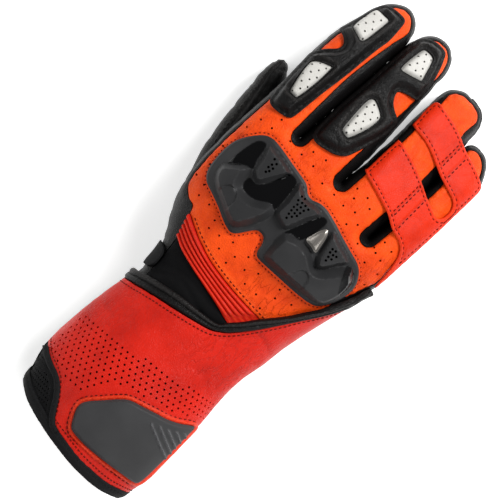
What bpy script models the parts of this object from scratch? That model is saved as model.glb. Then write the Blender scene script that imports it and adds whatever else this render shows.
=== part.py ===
"""Right-hand summer motorcycle glove with a long cuff, lying palm down.

+Y runs from the cuff's mouth to the fingertips, +X to the little finger, +Z up
through the back of the hand. The origin is below the glove's middle, on the
surface that it lies on. All sizes are in metres.

The plan of every piece is drawn in pattern units, (u, v), which are shares of the
glove: PATTERN_WIDTH of them make the width over the knuckles and PATTERN_LENGTH
of them the length from the cuff's mouth to the middle fingertip. Heights are
shares of KNUCKLE_HEIGHT. Each leather piece is lifted from its plan on to the
skin of the stuffed hand, or of the wider cuff, and given its own wall.
"""

import math

import bpy
import numpy as np
from mathutils.geometry import delaunay_2d_cdt

# Driving sizes
GLOVE_LENGTH = 0.300
HAND_WIDTH = 0.116
KNUCKLE_HEIGHT = 0.050
HAND_LEATHER = 0.0016
CUFF_LEATHER = 0.0020
THUMB_LEATHER = 0.0016
SEAM_GAP = 0.0004
LAYER_GAP = 0.0005
STRAP_GAP = 0.0009
HOLE_CLEARANCE = 0.0004
RIB_HEIGHT = 0.0016
RIB_COUNT = 5
PAD_THICKNESS = 0.0030
INSERT_THICKNESS = 0.0018
STRAP_THICKNESS = 0.0014
GUARD_FLANGE = 0.0018
GUARD_RELIEF = 0.0062
SLIDER_THICKNESS = 0.0016
ARMOUR_THICKNESS = 0.0026
WELT_WIDTH = 0.0062
WELT_RISE = 0.0010
FLAP_BINDING_WIDTH = 0.0030
MOUTH_BAND_WIDTH = 0.0052
BINDING_RISE = 0.0007
GUSSET_RECESS = 0.0008
CUFF_CLEARANCE = 0.0029

# The pattern grid
PATTERN_LENGTH = 562.0
PATTERN_WIDTH = 217.0
PATTERN_CENTRE = np.array([2.6, 5.0])
ACROSS = HAND_WIDTH / PATTERN_WIDTH
ALONG = GLOVE_LENGTH / PATTERN_LENGTH
UNIT = np.array([ACROSS, ALONG])

TOP = 1
BOTTOM = -1

# How square the rounded sides of the stuffed glove are: 2 is an ellipse
SIDE_POWER = 2.2

# Coarseness of the faceted solids, in pattern units
LONG_STEP = 24.0
TURN_STEP = math.radians(30)
SHEET_SPACING = 21.0
PLATE_SPACING = 11.0
CHORD_ERROR = 0.00016

# Each finger from its root to where its tip starts to round: v and u of the left
# edge, v and u of the right edge, seam insets on the left and on the right
FINGER_SECTIONS = {
    "index": (
        (116, -95.8, 114, -44.0, 3.0, 8.5),
        (150, -94.9, 150, -41.5, 3.0, 11.0),
        (184, -95.4, 184, -39.2, 3.0, 13.0),
        (216, -93.4, 216, -37.0, 3.0, 12.0),
        (246, -86.2, 246, -35.4, 4.0, 9.0),
    ),
    "middle": (
        (114, -42.8, 112, 16.6, 8.0, 8.5),
        (150, -40.0, 150, 18.4, 6.0, 9.0),
        (184, -37.6, 184, 17.4, 5.0, 7.0),
        (216, -35.4, 216, 15.4, 5.0, 5.0),
        (250, -33.8, 250, 13.8, 5.0, 4.5),
    ),
    "ring": (
        (112, 18.0, 92, 74.4, 8.0, 8.0),
        (150, 21.6, 140, 78.4, 7.0, 7.5),
        (184, 23.2, 176, 80.2, 7.5, 7.5),
        (216, 24.0, 216, 78.0, 7.0, 7.0),
        (238, 25.2, 238, 76.2, 6.0, 6.5),
    ),
    "little": (
        (92, 75.8, 94, 117.2, 8.0, 2.0),
        (125, 79.8, 125, 118.6, 7.0, 2.0),
        (155, 81.6, 155, 119.8, 7.0, 2.0),
        (178, 82.6, 178, 120.4, 7.0, 2.0),
        (198, 82.0, 198, 120.8, 6.0, 2.0),
    ),
}
# The rounded tips: v of the tip, how far its peak leans across, its squareness
FINGER_TIPS = {
    "index": (284, 4.3, 2.0),
    "middle": (286, 1.7, 2.25),
    "ring": (265, 0.0, 2.5),
    "little": (234, -8.4, 2.4),
}
CROTCH_INSET = 8.0
TIP_INSET = 5.0

# The hand's left side from the wrist up to the index finger: v, u, seam inset
HAND_LEFT = (
    (-125, -62.6, 7.0),
    (-95, -63.0, 7.0),
    (-62, -65.4, 7.0),
    (-44, -73.0, 13.0),
    (-28, -82.6, 17.5),
    (-16, -88.4, 17.5),
    (-8, -91.2, 9.0),
    (2, -94.0, 4.0),
    (20, -97.2, 3.0),
    (56, -98.2, 3.0),
    (88, -97.4, 3.0),
)
# The hand's right side from the little finger down to the wrist
HAND_RIGHT = (
    (76, 115.8, 2.0),
    (62, 114.6, 2.5),
    (50, 110.4, 3.0),
    (36, 106.8, 4.0),
    (20, 102.0, 5.0),
    (0, 97.0, 5.0),
    (-24, 91.2, 6.0),
    (-48, 86.6, 7.0),
    (-72, 83.6, 7.0),
    (-100, 78.6, 7.0),
    (-125, 77.6, 7.0),
)
PALM_INSET = 5.0

# The cuff's sides from above: v, left edge, right edge
CUFF_SIDES = (
    (72, -106.0, 121.5),
    (50, -105.0, 115.6),
    (36, -104.0, 112.6),
    (20, -103.0, 108.4),
    (0, -100.0, 103.4),
    (-24, -92.0, 97.8),
    (-48, -78.0, 93.2),
    (-72, -70.5, 90.6),
    (-95, -68.6, 86.0),
    (-112, -69.4, 84.8),
    (-130, -73.0, 85.4),
    (-158, -76.4, 87.6),
    (-190, -78.8, 90.2),
    (-212, -78.4, 90.4),
    (-224, -75.6, 90.2),
    (-236, -71.8, 89.6),
    (-250, -69.6, 87.0),
    (-264, -66.4, 83.4),
    (-278, -61.0, 79.5),
)

# How far the sides stay rounded, measured in from the edge: v, reach
ROUNDING = (
    (290, 18.0),
    (170, 18.0),
    (110, 20.0),
    (60, 26.0),
    (0, 36.0),
    (-60, 52.0),
    (-110, 66.0),
    (-200, 78.0),
    (-280, 72.0),
)
UNDER_ROUNDING_SHARE = 0.72

# Heights of the stuffed hand as shares of KNUCKLE_HEIGHT: u, v, back, palm
HAND_HEIGHTS = (
    (-58, 276, 0.38, 0.00),
    (-62, 240, 0.57, 0.10),
    (-67, 190, 0.78, 0.30),
    (-70, 122, 0.94, 0.46),
    (-9, 278, 0.38, 0.00),
    (-11, 240, 0.59, 0.10),
    (-11, 190, 0.80, 0.30),
    (-12, 122, 0.98, 0.38),
    (50, 256, 0.38, 0.00),
    (51, 215, 0.58, 0.08),
    (52, 170, 0.76, 0.22),
    (47, 116, 0.93, 0.28),
    (96, 226, 0.36, 0.00),
    (102, 190, 0.52, 0.06),
    (101, 150, 0.66, 0.16),
    (97, 104, 0.80, 0.20),
    (-95, 60, 0.90, 0.47),
    (-50, 60, 1.00, 0.38),
    (0, 60, 1.00, 0.26),
    (50, 56, 0.95, 0.18),
    (104, 50, 0.78, 0.13),
    (-92, 22, 0.86, 0.42),
    (-82, -12, 0.82, 0.10),
    (-40, 0, 0.95, 0.10),
    (20, 0, 0.95, 0.07),
    (80, 0, 0.82, 0.07),
    (-60, -60, 0.80, 0.060),
    (10, -60, 0.87, 0.060),
    (78, -60, 0.80, 0.070),
    (-60, -125, 0.85, 0.058),
    (10, -125, 0.92, 0.058),
    (75, -125, 0.86, 0.058),
    (-62, -200, 0.92, 0.050),
    (10, -200, 1.02, 0.050),
    (78, -200, 0.96, 0.050),
    (-60, -275, 0.84, 0.040),
    (10, -275, 0.98, 0.040),
    (78, -275, 0.90, 0.040),
)

# Seams across the back: u, v
ACCORDION_TOP = ((-76, -13), (-70, -15.5), (-46, -27), (-22, -35), (2, -39), (26, -41), (56, -42), (84, -42))
ACCORDION_FOOT = ((-66, -39.5), (-58, -43), (-48, -48), (-30, -53), (-6, -58), (18, -63), (34, -67), (78, -73))
WRIST_END = -125.0

# The welt round the cuff's upper edge on the back, from the left side to the
# right, as its upper line and its lower line: u, v
WELT_TOP = (
    (-75, -95), (-64, -93), (-57, -90), (-20, -81), (10, -77.5), (29, -74), (36, -66), (46, -55),
    (56, -42), (74, -21), (85, -5), (95, 9.5), (106, 31), (111, 44), (113.5, 53), (116, 57),
)
WELT_FOOT = (
    (-78, -109), (-68, -107.5), (-40, -100), (0, -91), (26, -84), (36, -78.5), (44, -72), (59.6, -53),
    (79, -24), (90, -7), (101, 10), (108, 23), (112.4, 34), (114, 48), (116, 51.5),
)
# The cuff's red lower edge on the back, with the cut-out at the left: u, v
CUFF_FOOT = (
    (-84, -203),
    (-78, -208),
    (-71, -214),
    (-60, -219),
    (-49, -222.5),
    (-40, -228),
    (-32, -237),
    (-25, -248),
    (-18, -257),
    (-8, -261.5),
    (26, -263.5),
    (58, -262),
    (90, -257),
)
# The mouth's lowest edge on the back: u, v
MOUTH = ((-75, -247), (-60, -257), (-46, -263), (-22, -268.5), (0, -272), (30, -275), (60, -274), (86, -267))
# On the palm side, from the right edge round to the left one:
# share of the way round, v of the upper edge, v of the mouth
CUFF_PALM_EDGES = (
    (0.00, 57, -266),
    (0.06, 42, -268),
    (0.12, 18, -270),
    (0.20, -20, -272),
    (0.30, -62, -274),
    (0.40, -90, -275),
    (0.55, -99, -275),
    (0.75, -99, -268),
    (1.00, -95, -247),
)
WELT_PALM_DEPTH = 10.0
# Where columns of the cuff's grid stand, as shares of the way in from its edge
CUFF_COLUMNS = (0.0, 0.018, 0.07, 0.16, 0.28, 0.44, 0.64, 0.84, 1.0)
CUFF_ROWS = 8

# The wrist strap from the back round the left side and across the palm: u of its
# end, v of its two edges
WRIST_STRAP = (12.0, -84.0, -56.0)

# Rings of points that follow a limb's rounded side, as shares of its reach
SHEET_RINGS = (0.26, 0.7)
PLATE_RINGS = (0.06, 0.14, 0.28, 0.5, 0.75)

# The thumb from its root inside the palm to near its tip:
# u, v, height of its middle, half width (units), half height
THUMB_SECTIONS = (
    (-61.0, -30, 0.400, 13.0, 0.155),
    (-70.5, -8, 0.340, 15.5, 0.175),
    (-79.0, 14, 0.262, 18.2, 0.200),
    (-89.0, 50, 0.218, 19.5, 0.214),
    (-94.8, 85, 0.212, 18.8, 0.210),
    (-100.0, 114, 0.206, 16.8, 0.204),
    (-104.6, 134, 0.200, 14.2, 0.196),
    (-107.6, 147, 0.186, 10.8, 0.166),
    (-109.0, 155, 0.172, 6.8, 0.112),
)
THUMB_TIP = (-109.8, 159.5, 0.164)
THUMB_SIDES = 14
THUMB_POWER = 2.3

INDEX_PAD = (
    (-77.4, 266.4), (-71, 270.6), (-58, 272), (-52.4, 270), (-50.5, 263), (-49.4, 245), (-51.6, 227),
    (-54.8, 190), (-58.8, 158), (-62, 126), (-65, 119.5), (-72, 116.8), (-83, 115.6), (-89, 118.4),
    (-91.4, 128), (-93.2, 150), (-93.8, 170), (-93.6, 182), (-86.5, 194), (-80.4, 201), (-78, 206.4),
    (-79.6, 211.5), (-85, 216), (-90.8, 218.8), (-88, 230), (-84.2, 246), (-80.6, 259),
)
INDEX_WINDOW_FAR = (
    (-79.6, 259), (-70, 260.5), (-62.8, 260), (-61.6, 255), (-64.4, 229), (-68, 222.5), (-72.4, 222.6),
    (-83, 227), (-84.6, 232), (-83.2, 245),
)
INDEX_WINDOW_NEAR = (
    (-70, 186.4), (-68, 183), (-68.4, 162), (-71.6, 140), (-75, 137), (-81, 136.8), (-84, 140),
    (-87.4, 156), (-89.0, 171), (-87.4, 177), (-81, 182.4),
)
MIDDLE_PAD = (
    (-29.4, 262), (-26.4, 270), (-20, 275.4), (-10.8, 277.8), (-2, 276.6), (3.2, 272), (7, 262),
    (10, 250), (11.4, 238), (12.2, 226), (10.2, 222), (0.4, 219), (-7, 215), (-6.6, 209.5), (-3, 203.5),
    (3, 198.5), (12, 193.5), (14, 188), (13.4, 178), (10.8, 164), (4.6, 141), (0.4, 131.5),
    (-7.6, 125.6), (-20.4, 121.8), (-28.4, 120.8), (-34, 123.4), (-36.6, 134), (-36.2, 168),
    (-33.8, 200), (-31.8, 236),
)
MIDDLE_WINDOW_FAR = (
    (-18.8, 263.6), (-14, 265.6), (-7.6, 265.2), (-3.6, 262), (0.4, 248), (2, 239.5), (-1, 235.6),
    (-18, 230), (-21.8, 232.4), (-22.2, 242), (-20.8, 256),
)
MIDDLE_WINDOW_NEAR = (
    (-21, 191.6), (-17.2, 193.1), (-9.2, 190.4), (-1.4, 185.6), (0.4, 181), (-0.2, 171), (-3.6, 158.4),
    (-8.4, 146.6), (-12.4, 144.3), (-18.8, 145.8), (-21.2, 149), (-22.6, 163), (-23.2, 184),
)
FINGER_STRAP = (
    (28.4, 234), (42, 234.4), (58, 231.2), (71, 226.4), (82, 221.6), (98, 216.8), (112, 211.2),
    (118.4, 206), (119.0, 190), (118.4, 168), (117.6, 144), (116.6, 120), (115.2, 96), (114.2, 76),
    (112.6, 62), (111.6, 78), (109.2, 94), (104.4, 105), (96.4, 110.6), (83.6, 114.4), (71, 121.4),
    (58, 125.6), (42, 130.4), (27.4, 135.4), (27.2, 142), (28.4, 176), (29.8, 181), (43.6, 177.6),
    (56.4, 173.6), (72.4, 167.4), (82, 162.6), (99.6, 155.2), (106.6, 152.6), (111.4, 156),
    (113.4, 163), (112.4, 171), (107.4, 177.4), (98, 180.8), (82, 185.6), (71, 190.4), (58, 196),
    (43.6, 200), (29.6, 201.6), (28.2, 206),
)
KNUCKLE_GUARD = (
    (-86.6, 60), (-82.6, 73), (-72, 88), (-62, 93.4), (-49, 92.8), (-30, 89.6), (-11, 86.4),
    (-4.4, 84), (1.4, 79.4), (8.4, 78.4), (17, 81.4), (27, 81.4), (41, 78), (56, 73.4), (72, 68.8),
    (83, 66), (91, 60.8), (97, 51), (98.2, 40), (95, 25), (87, 10.6), (79, 5.2), (62, 2.2),
    (40, 1), (18, 0), (9.6, 0.6), (6, 5), (4.4, 12), (1.4, 17.4), (-3.4, 19.6), (-9.4, 18.4),
    (-14.4, 12), (-21, 2.6), (-27, -0.8), (-38, 2), (-51, 8), (-66, 13.6), (-78, 18.6),
    (-84.6, 28), (-87, 44),
)
SLIDER = (
    (38.8, 69.6), (43.4, 64), (45.6, 56), (47.4, 43.6), (39, 44.4), (30.4, 46), (31.2, 54), (34, 64),
)
# The guard's raised shells: height as a share of GUARD_RELIEF, ramp width, outline
GUARD_SHELLS = (
    (1.00, 13.0, ((-78, 42), (-60, 50), (-50, 36), (-22, 38), (-12, 42), (-8, 34), (-18, 14), (-28, 6), (-52, 14), (-72, 24))),
    (0.80, 11.0, ((-57, 86), (-28, 84), (-38, 56), (-44, 50), (-49, 56))),
    (0.75, 11.0, ((-10, 80), (14, 76), (8, 52), (0, 44), (-8, 50))),
    (1.00, 13.0, ((10, 34), (26, 42), (48, 38), (60, 28), (86, 48), (92, 40), (84, 16), (60, 8), (16, 8))),
    (0.80, 11.0, ((46, 74), (76, 64), (66, 40), (56, 36), (49, 46))),
)
CUFF_ARMOUR = (
    (84.4, -164), (79.4, -166), (70.8, -171.6), (59.6, -176.6), (48, -180), (34, -184.4),
    (21.2, -188.6), (13.2, -195), (2, -207.6), (-7.6, -219), (-10.6, -227), (-8, -236), (-1.6, -247),
    (4, -250.2), (20, -251), (40, -249.6), (62, -247), (80, -244.6), (83.6, -241.6), (85.0, -232),
    (85.2, -212), (85.0, -190), (84.8, -170),
)

COLOURS = {
    "orange_leather": ((0.90, 0.16, 0.03), 0.55, 0.0),
    "red_leather": ((0.66, 0.03, 0.01), 0.42, 0.0),
    "black_leather": ((0.012, 0.011, 0.011), 0.5, 0.0),
    "white_leather": ((0.80, 0.79, 0.76), 0.5, 0.0),
    "black_textile": ((0.010, 0.010, 0.011), 0.85, 0.0),
    "guard_plastic": ((0.030, 0.031, 0.034), 0.38, 0.0),
    "slider_plastic": ((0.16, 0.155, 0.15), 0.22, 0.3),
}


def metres(points):
    """Plan points from pattern units to metres."""
    return (np.asarray(points, float) - PATTERN_CENTRE) * UNIT


def units_across(value):
    """A width of so many pattern units, in metres."""
    return value * ACROSS


def smoothstep(t):
    t = np.clip(t, 0.0, 1.0)
    return t * t * (3.0 - 2.0 * t)


def catmull(points, per_span, closed=False):
    """A smooth curve through the rows of points, with per_span samples to a span."""
    rows = np.asarray(points, float)
    if closed:
        ends = np.vstack([rows[-1:], rows, rows[:2]])
    else:
        ends = np.vstack([2 * rows[0] - rows[1], rows, 2 * rows[-1] - rows[-2]])
    t = np.linspace(0.0, 1.0, per_span, endpoint=False)[:, None]
    spans = []
    for a, b, c, d in zip(ends, ends[1:], ends[2:], ends[3:]):
        spans.append(
            0.5 * (2 * b + (c - a) * t + (2 * a - 5 * b + 4 * c - d) * t**2 + (3 * b - a - 3 * c + d) * t**3)
        )
    if not closed:
        spans.append(rows[-1:])
    return np.vstack(spans)


def lengths_along(path):
    """The distance from a path's start to each of its points, in plan."""
    steps = np.linalg.norm(np.diff(path[:, :2], axis=0), axis=1)
    return np.concatenate([[0.0], np.cumsum(steps)])


def at_lengths(path, wanted):
    """Each column of a path, read at the wanted distances from its start."""
    along = lengths_along(path)
    return np.column_stack([np.interp(wanted, along, column) for column in path.T])


def thinned(path, longest, turn):
    """Indices of the fewest points that keep to the longest step and the largest turn."""
    kept = [0]
    tangent = np.arctan2(np.gradient(path[:, 1]), np.gradient(path[:, 0]))
    tangent = np.unwrap(tangent)
    along = lengths_along(path)
    for i in range(1, len(path) - 1):
        last = kept[-1]
        if along[i + 1] - along[last] > longest or abs(tangent[i + 1] - tangent[last]) > turn:
            kept.append(i)
    return kept + [len(path) - 1]


def nearest_on(path, points):
    """The distance from each point to a path, and the unit way from the path to it."""
    a, b = path[:-1], path[1:]
    span = b - a
    size = np.maximum((span**2).sum(1), 1e-18)
    distance = np.empty(len(points))
    away = np.empty((len(points), 2))
    for start in range(0, len(points), 512):
        some = points[start : start + 512]
        offset = some[:, None, :] - a[None]
        t = np.clip((offset * span[None]).sum(2) / size, 0.0, 1.0)
        gap = offset - t[..., None] * span[None]
        square = (gap**2).sum(2)
        best = square.argmin(1)
        rows = np.arange(len(some))
        distance[start : start + 512] = np.sqrt(square[rows, best])
        away[start : start + 512] = gap[rows, best]
    return distance, away / np.maximum(distance, 1e-9)[:, None]


def is_inside(polygon, points):
    """Which points lie inside a closed plan outline."""
    x, y = points[:, 0][:, None], points[:, 1][:, None]
    a, b = polygon, np.roll(polygon, -1, axis=0)
    crosses = (a[None, :, 1] > y) != (b[None, :, 1] > y)
    rise = b[:, 1] - a[:, 1]
    rise = np.where(np.abs(rise) < 1e-12, 1e-12, rise)
    hit = a[None, :, 0] + (y - a[None, :, 1]) * ((b - a)[None, :, 0] / rise[None])
    return (crosses & (x < hit)).sum(1) % 2 == 1


class Heights:
    """A smooth height through rows of (u, v, share), as a thin plate bends."""

    def __init__(self, rows):
        rows = np.asarray(rows, float)
        self.centres = rows[:, :2]
        count = len(rows)
        system = np.zeros((count + 3, count + 3))
        system[:count, :count] = self.plate(rows[:, :2])
        system[:count, count] = 1.0
        system[:count, count + 1 :] = rows[:, :2] / PATTERN_WIDTH
        system[count:, :count] = system[:count, count:].T
        self.weights = np.linalg.solve(system, np.concatenate([rows[:, 2], np.zeros(3)]))

    def plate(self, points):
        square = ((points[:, None] - self.centres[None]) ** 2).sum(2) / PATTERN_WIDTH**2
        return square * np.log(square + 1e-12)

    def __call__(self, plan):
        """Heights in metres above plan points that are in metres."""
        points = plan / UNIT + PATTERN_CENTRE
        count = len(self.centres)
        share = self.plate(points) @ self.weights[:count] + self.weights[count]
        share = share + (points / PATTERN_WIDTH) @ self.weights[count + 1 :]
        return share * KNUCKLE_HEIGHT


class Skin:
    """The outer surface of a stuffed limb above and below its plan outline."""

    def __init__(self, edge, back, palm, clearance=0.0):
        self.edge = edge
        self.back = back
        self.palm = palm
        self.clearance = clearance

    def reach(self, plan, side):
        rows = np.asarray(ROUNDING, float)[::-1]
        v = plan[:, 1] / ALONG + PATTERN_CENTRE[1]
        reach = units_across(np.interp(v, rows[:, 0], rows[:, 1]))
        return reach if side == TOP else reach * UNDER_ROUNDING_SHARE

    def levels(self, plan):
        """The middle, back and palm heights of the limb."""
        back = self.back(plan) + self.clearance
        palm = np.maximum(self.palm(plan) - self.clearance, 0.0)
        return (back + palm) / 2, back, palm

    def height(self, plan, depth, side):
        middle, back, palm = self.levels(plan)
        share = 1.0 - np.clip(depth / self.reach(plan, side), 0.0, 1.0)
        full = (1.0 - share**SIDE_POWER) ** (1.0 / SIDE_POWER)
        return middle + ((back if side == TOP else palm) - middle) * full

    def lifted(self, plan, side, depth=None, inward=None):
        """Points on the surface over plan points, and the surface's outward normals."""
        if depth is None:
            depth, inward = nearest_on(self.edge, plan)
        step = 1e-5
        z = self.height(plan, depth, side)
        slope = np.column_stack(
            [
                (self.height(plan + way, depth, side) - self.height(plan - way, depth, side)) / (2 * step)
                for way in (np.array([step, 0.0]), np.array([0.0, step]))
            ]
        )
        inner = np.maximum(depth, 2e-6)
        rise = (self.height(plan, inner + 1e-6, side) - self.height(plan, inner - 1e-6, side)) / 2e-6
        normal = np.column_stack([-(slope + rise[:, None] * inward), np.ones(len(plan))]) * side
        normal /= np.linalg.norm(normal, axis=1)[:, None]
        return np.column_stack([plan, z]), normal


def finger_outline(name):
    """One finger's plan, up its left edge, over the tip and down its right edge:
    u, v, seam inset."""
    rows = np.asarray(FINGER_SECTIONS[name], float)
    tip_v, lean, squareness = FINGER_TIPS[name]
    left = catmull(rows[:, [1, 0, 4]], 12)
    right = catmull(rows[::-1][:, [3, 2, 5]], 12)
    v0, u_left, _, u_right, inset_left, inset_right = rows[-1]
    middle, half = (u_left + u_right) / 2, (u_right - u_left) / 2
    turn = np.linspace(math.pi, 0.0, 49)[1:-1]
    across = np.sign(np.cos(turn)) * np.abs(np.cos(turn)) ** (2 / squareness)
    rise = np.sin(turn) ** (2 / squareness)
    blend = smoothstep(rise * 1.4)
    inset = np.where(turn > math.pi / 2, inset_left, inset_right) * (1 - blend) + TIP_INSET * blend
    tip = np.column_stack([middle + lean * rise + half * across, v0 + (tip_v - v0) * rise, inset])
    return left, tip, right


def crotch_arc(end, start):
    """The rounded foot of the slot between two fingers, from one root to the next."""
    middle = (end[:2] + start[:2]) / 2
    half = (start[0] - end[0]) / 2
    turn = np.linspace(math.pi, 2 * math.pi, 13)[1:-1]
    return np.column_stack(
        [middle[0] + half * np.cos(turn), middle[1] + half * np.sin(turn), np.full(len(turn), CROTCH_INSET)]
    )


def hand_outline():
    """The whole hand's plan from the wrist's left side to its right side, as
    (x, y, seam inset) in metres, and where its belts of leather start and end."""
    fingers = [finger_outline(name) for name in FINGER_SECTIONS]
    left_side = catmull(np.asarray(HAND_LEFT, float)[:, [1, 0, 2]], 10)
    right_side = catmull(np.asarray(HAND_RIGHT, float)[:, [1, 0, 2]], 10)
    runs, breaks, count = [left_side], [], len(left_side)
    for i, (left, tip, right) in enumerate(fingers):
        if i:
            arc = crotch_arc(runs[-1][-1], left[0])
            runs.append(arc)
            count += len(arc)
        breaks.append(count + len(left) + len(tip) // 2)
        runs += [left, tip, right]
        count += len(left) + len(tip) + len(right)
    runs.append(right_side)
    path = np.vstack(runs)
    path = np.column_stack([metres(path[:, :2]), units_across(path[:, 2])])
    return path, [0] + breaks + [len(path) - 1]


def belt_samples(path, first, last, trim_start, trim_end):
    """A stretch of the outline, thinned, with seam gaps at its ends: points in plan,
    seam insets and the unit ways inward."""
    stretch = path[first : last + 1]
    along = lengths_along(stretch)
    wanted = along[thinned(stretch, units_across(LONG_STEP), TURN_STEP)]
    wanted[0] += trim_start
    wanted[-1] -= trim_end
    samples = at_lengths(stretch, wanted)
    step = 2e-4
    wanted = wanted + lengths_along(path)[first]
    ahead = at_lengths(path, wanted + step)
    behind = at_lengths(path, wanted - step)
    way = (ahead - behind)[:, :2]
    way /= np.linalg.norm(way, axis=1)[:, None]
    inward = np.column_stack([way[:, 1], -way[:, 0]])
    return samples[:, :2], samples[:, 2], inward


def material(name):
    found = bpy.data.materials.get(name)
    if found:
        return found
    colour, roughness, metallic = COLOURS[name]
    made = bpy.data.materials.new(name)
    made.use_nodes = True
    shader = made.node_tree.nodes["Principled BSDF"]
    shader.inputs["Base Color"].default_value = (*colour, 1.0)
    shader.inputs["Roughness"].default_value = roughness
    shader.inputs["Metallic"].default_value = metallic
    return made


def add_object(name, vertices, faces, finish, collection):
    mesh = bpy.data.meshes.new(name)
    mesh.from_pydata([tuple(v) for v in vertices], [], [tuple(int(i) for i in f) for f in faces])
    mesh.validate()
    made = bpy.data.objects.new(name, mesh)
    collection.objects.link(made)
    if finish:
        made.data.materials.append(material(finish))
        made.data.shade_smooth()
        made.data.set_sharp_from_angle(angle=math.radians(40))
    return made


def walled(name, points, normals, faces, outer, inner, finish, collection):
    """A closed wall between two offsets from a skin, with square seam edges all round.

    The offsets are along the skin's own normals, so that two pieces which meet at a
    seam have parallel edges there."""
    outer = np.broadcast_to(outer, len(points))[:, None]
    inner = np.broadcast_to(inner, len(points))[:, None]
    vertices = np.vstack([points + normals * outer, points + normals * inner])
    count = len(points)
    edges = {}
    for face in faces:
        for a, b in zip(face, np.roll(face, -1)):
            edges[(int(a), int(b))] = True
    rim = [(a, a + count, b + count, b) for a, b in edges if (b, a) not in edges]
    inside = [[int(i) + count for i in reversed(face)] for face in faces]
    return add_object(name, vertices, [*faces, *inside, *rim], finish, collection)


def grid_faces(rows, columns, closed=False):
    """Quads of a grid whose points are stored row by row. Closed grids join the last
    column to the first."""
    faces = []
    for i in range(rows - 1):
        for j in range(columns if closed else columns - 1):
            k = (j + 1) % columns
            faces.append((i * columns + j, (i + 1) * columns + j, (i + 1) * columns + k, i * columns + k))
    return faces


def side_rings(skin, side, spacing, shares):
    """Points that follow the rounded side of a limb, ring by ring in from its edge."""
    edge = skin.edge
    way = np.gradient(edge, axis=0)
    way /= np.linalg.norm(way, axis=1)[:, None]
    kept = thinned(edge, spacing, TURN_STEP * 0.6 if shares == PLATE_RINGS else TURN_STEP)
    samples = edge[kept]
    inward = np.column_stack([way[kept, 1], -way[kept, 0]])
    reach = skin.reach(samples, side)
    rings = []
    for share in shares:
        ring = samples + inward * (reach * share)[:, None]
        depth = nearest_on(edge, ring)[0]
        rings.append(ring[(depth > 0.9 * reach * share) & (reach * share > units_across(2.2))])
    return np.vstack(rings)


def triangulated(boundary, spacing, skin, side, holes=(), shares=SHEET_RINGS):
    """Plan points and triangles that fill an outline. A triangular grid covers the
    flat of the limb, and rings of points follow its rounded side."""
    low, high = boundary.min(0), boundary.max(0)
    row_step = spacing * math.sqrt(3) / 2
    grid = []
    for j in range(int((high[1] - low[1]) / row_step) + 2):
        shift = spacing / 2 if j % 2 else 0.0
        for i in range(int((high[0] - low[0]) / spacing) + 2):
            grid.append((low[0] + i * spacing + shift, low[1] + j * row_step))
    grid = np.array(grid)
    depth = nearest_on(skin.edge, grid)[0] / skin.reach(grid, side)
    grid = grid[depth > 0.9]
    rings = side_rings(skin, side, spacing, shares)
    loops = [boundary, *holes]

    def clear_of_loops(points, gap):
        keep = is_inside(boundary, points)
        for loop in loops:
            keep &= nearest_on(np.vstack([loop, loop[:1]]), points)[0] > gap
        for hole in holes:
            keep &= ~is_inside(hole, points)
        return points[keep]

    inner = np.vstack([clear_of_loops(grid, 0.55 * spacing), clear_of_loops(rings, 0.12 * spacing)])
    loops = [boundary, *holes]
    points = np.vstack([*loops, inner])
    edges, start = [], 0
    for loop in loops:
        edges += [(start + i, start + (i + 1) % len(loop)) for i in range(len(loop))]
        start += len(loop)
    scale = 1.0 / spacing
    found = delaunay_2d_cdt([tuple(p * scale) for p in points], edges, [], 0, 1e-6, True)
    plan = np.array([tuple(p) for p in found[0]]) / scale
    faces = np.array([f for f in found[2]], int)
    middles = plan[faces].mean(1)
    keep = is_inside(boundary, middles)
    for hole in holes:
        keep &= ~is_inside(hole, middles)
    faces = faces[keep]
    used = np.unique(faces)
    number = np.full(len(plan), -1)
    number[used] = np.arange(len(used))
    plan, faces = plan[used], number[faces]
    a, b, c = plan[faces[:, 0]], plan[faces[:, 1]], plan[faces[:, 2]]
    turn = (b[:, 0] - a[:, 0]) * (c[:, 1] - a[:, 1]) - (b[:, 1] - a[:, 1]) * (c[:, 0] - a[:, 0])
    faces[turn < 0] = faces[turn < 0][:, ::-1]
    return plan, faces


def spaced(outline, least):
    """A closed outline without the points that crowd their neighbour."""
    kept = [outline[0]]
    for point in outline[1:]:
        if np.linalg.norm(point - kept[-1]) > least and np.linalg.norm(point - kept[0]) > least:
            kept.append(point)
    return np.array(kept)


def closed_outline(points, skin, longest=PLATE_SPACING):
    """A smooth closed outline in metres from its corner points in pattern units, with
    as few samples as keep its straight steps close to the skin."""
    dense = metres(catmull(points, 8, closed=True))
    dense = np.vstack([dense, dense[:1]])
    place = skin.lifted(dense, TOP)[0]
    along = lengths_along(dense)
    kept, i = [0], 1
    while i < len(dense) - 1:
        first = place[kept[-1]]
        chord = place[i + 1] - first
        passed = place[kept[-1] + 1 : i + 1] - first
        share = passed @ chord / max(chord @ chord, 1e-12)
        stray = np.linalg.norm(passed - share[:, None] * chord, axis=1).max()
        if stray > CHORD_ERROR or along[i + 1] - along[kept[-1]] > units_across(longest):
            kept.append(i)
        i += 1
    return spaced(dense[kept], units_across(1.5))


def edge_offset(plan, loops, slope):
    """0 at the nearest outline, rising to 1 over the slope's width."""
    distance = np.full(len(plan), np.inf)
    for loop in loops:
        distance = np.minimum(distance, nearest_on(np.vstack([loop, loop[:1]]), plan)[0])
    return smoothstep(distance / slope)


def shrunk(outline, by):
    """An outline drawn in by a distance all round."""
    after, before = np.roll(outline, -1, axis=0), np.roll(outline, 1, axis=0)
    way = after - before
    way /= np.linalg.norm(way, axis=1)[:, None]
    left = np.column_stack([-way[:, 1], way[:, 0]])
    area = (outline[:, 0] * after[:, 1] - after[:, 0] * outline[:, 1]).sum()
    moved = outline + left * math.copysign(by, area)
    clear = nearest_on(np.vstack([outline, outline[:1]]), moved)[0] > 0.9 * by
    return spaced(moved[clear], units_across(1.5))


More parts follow.
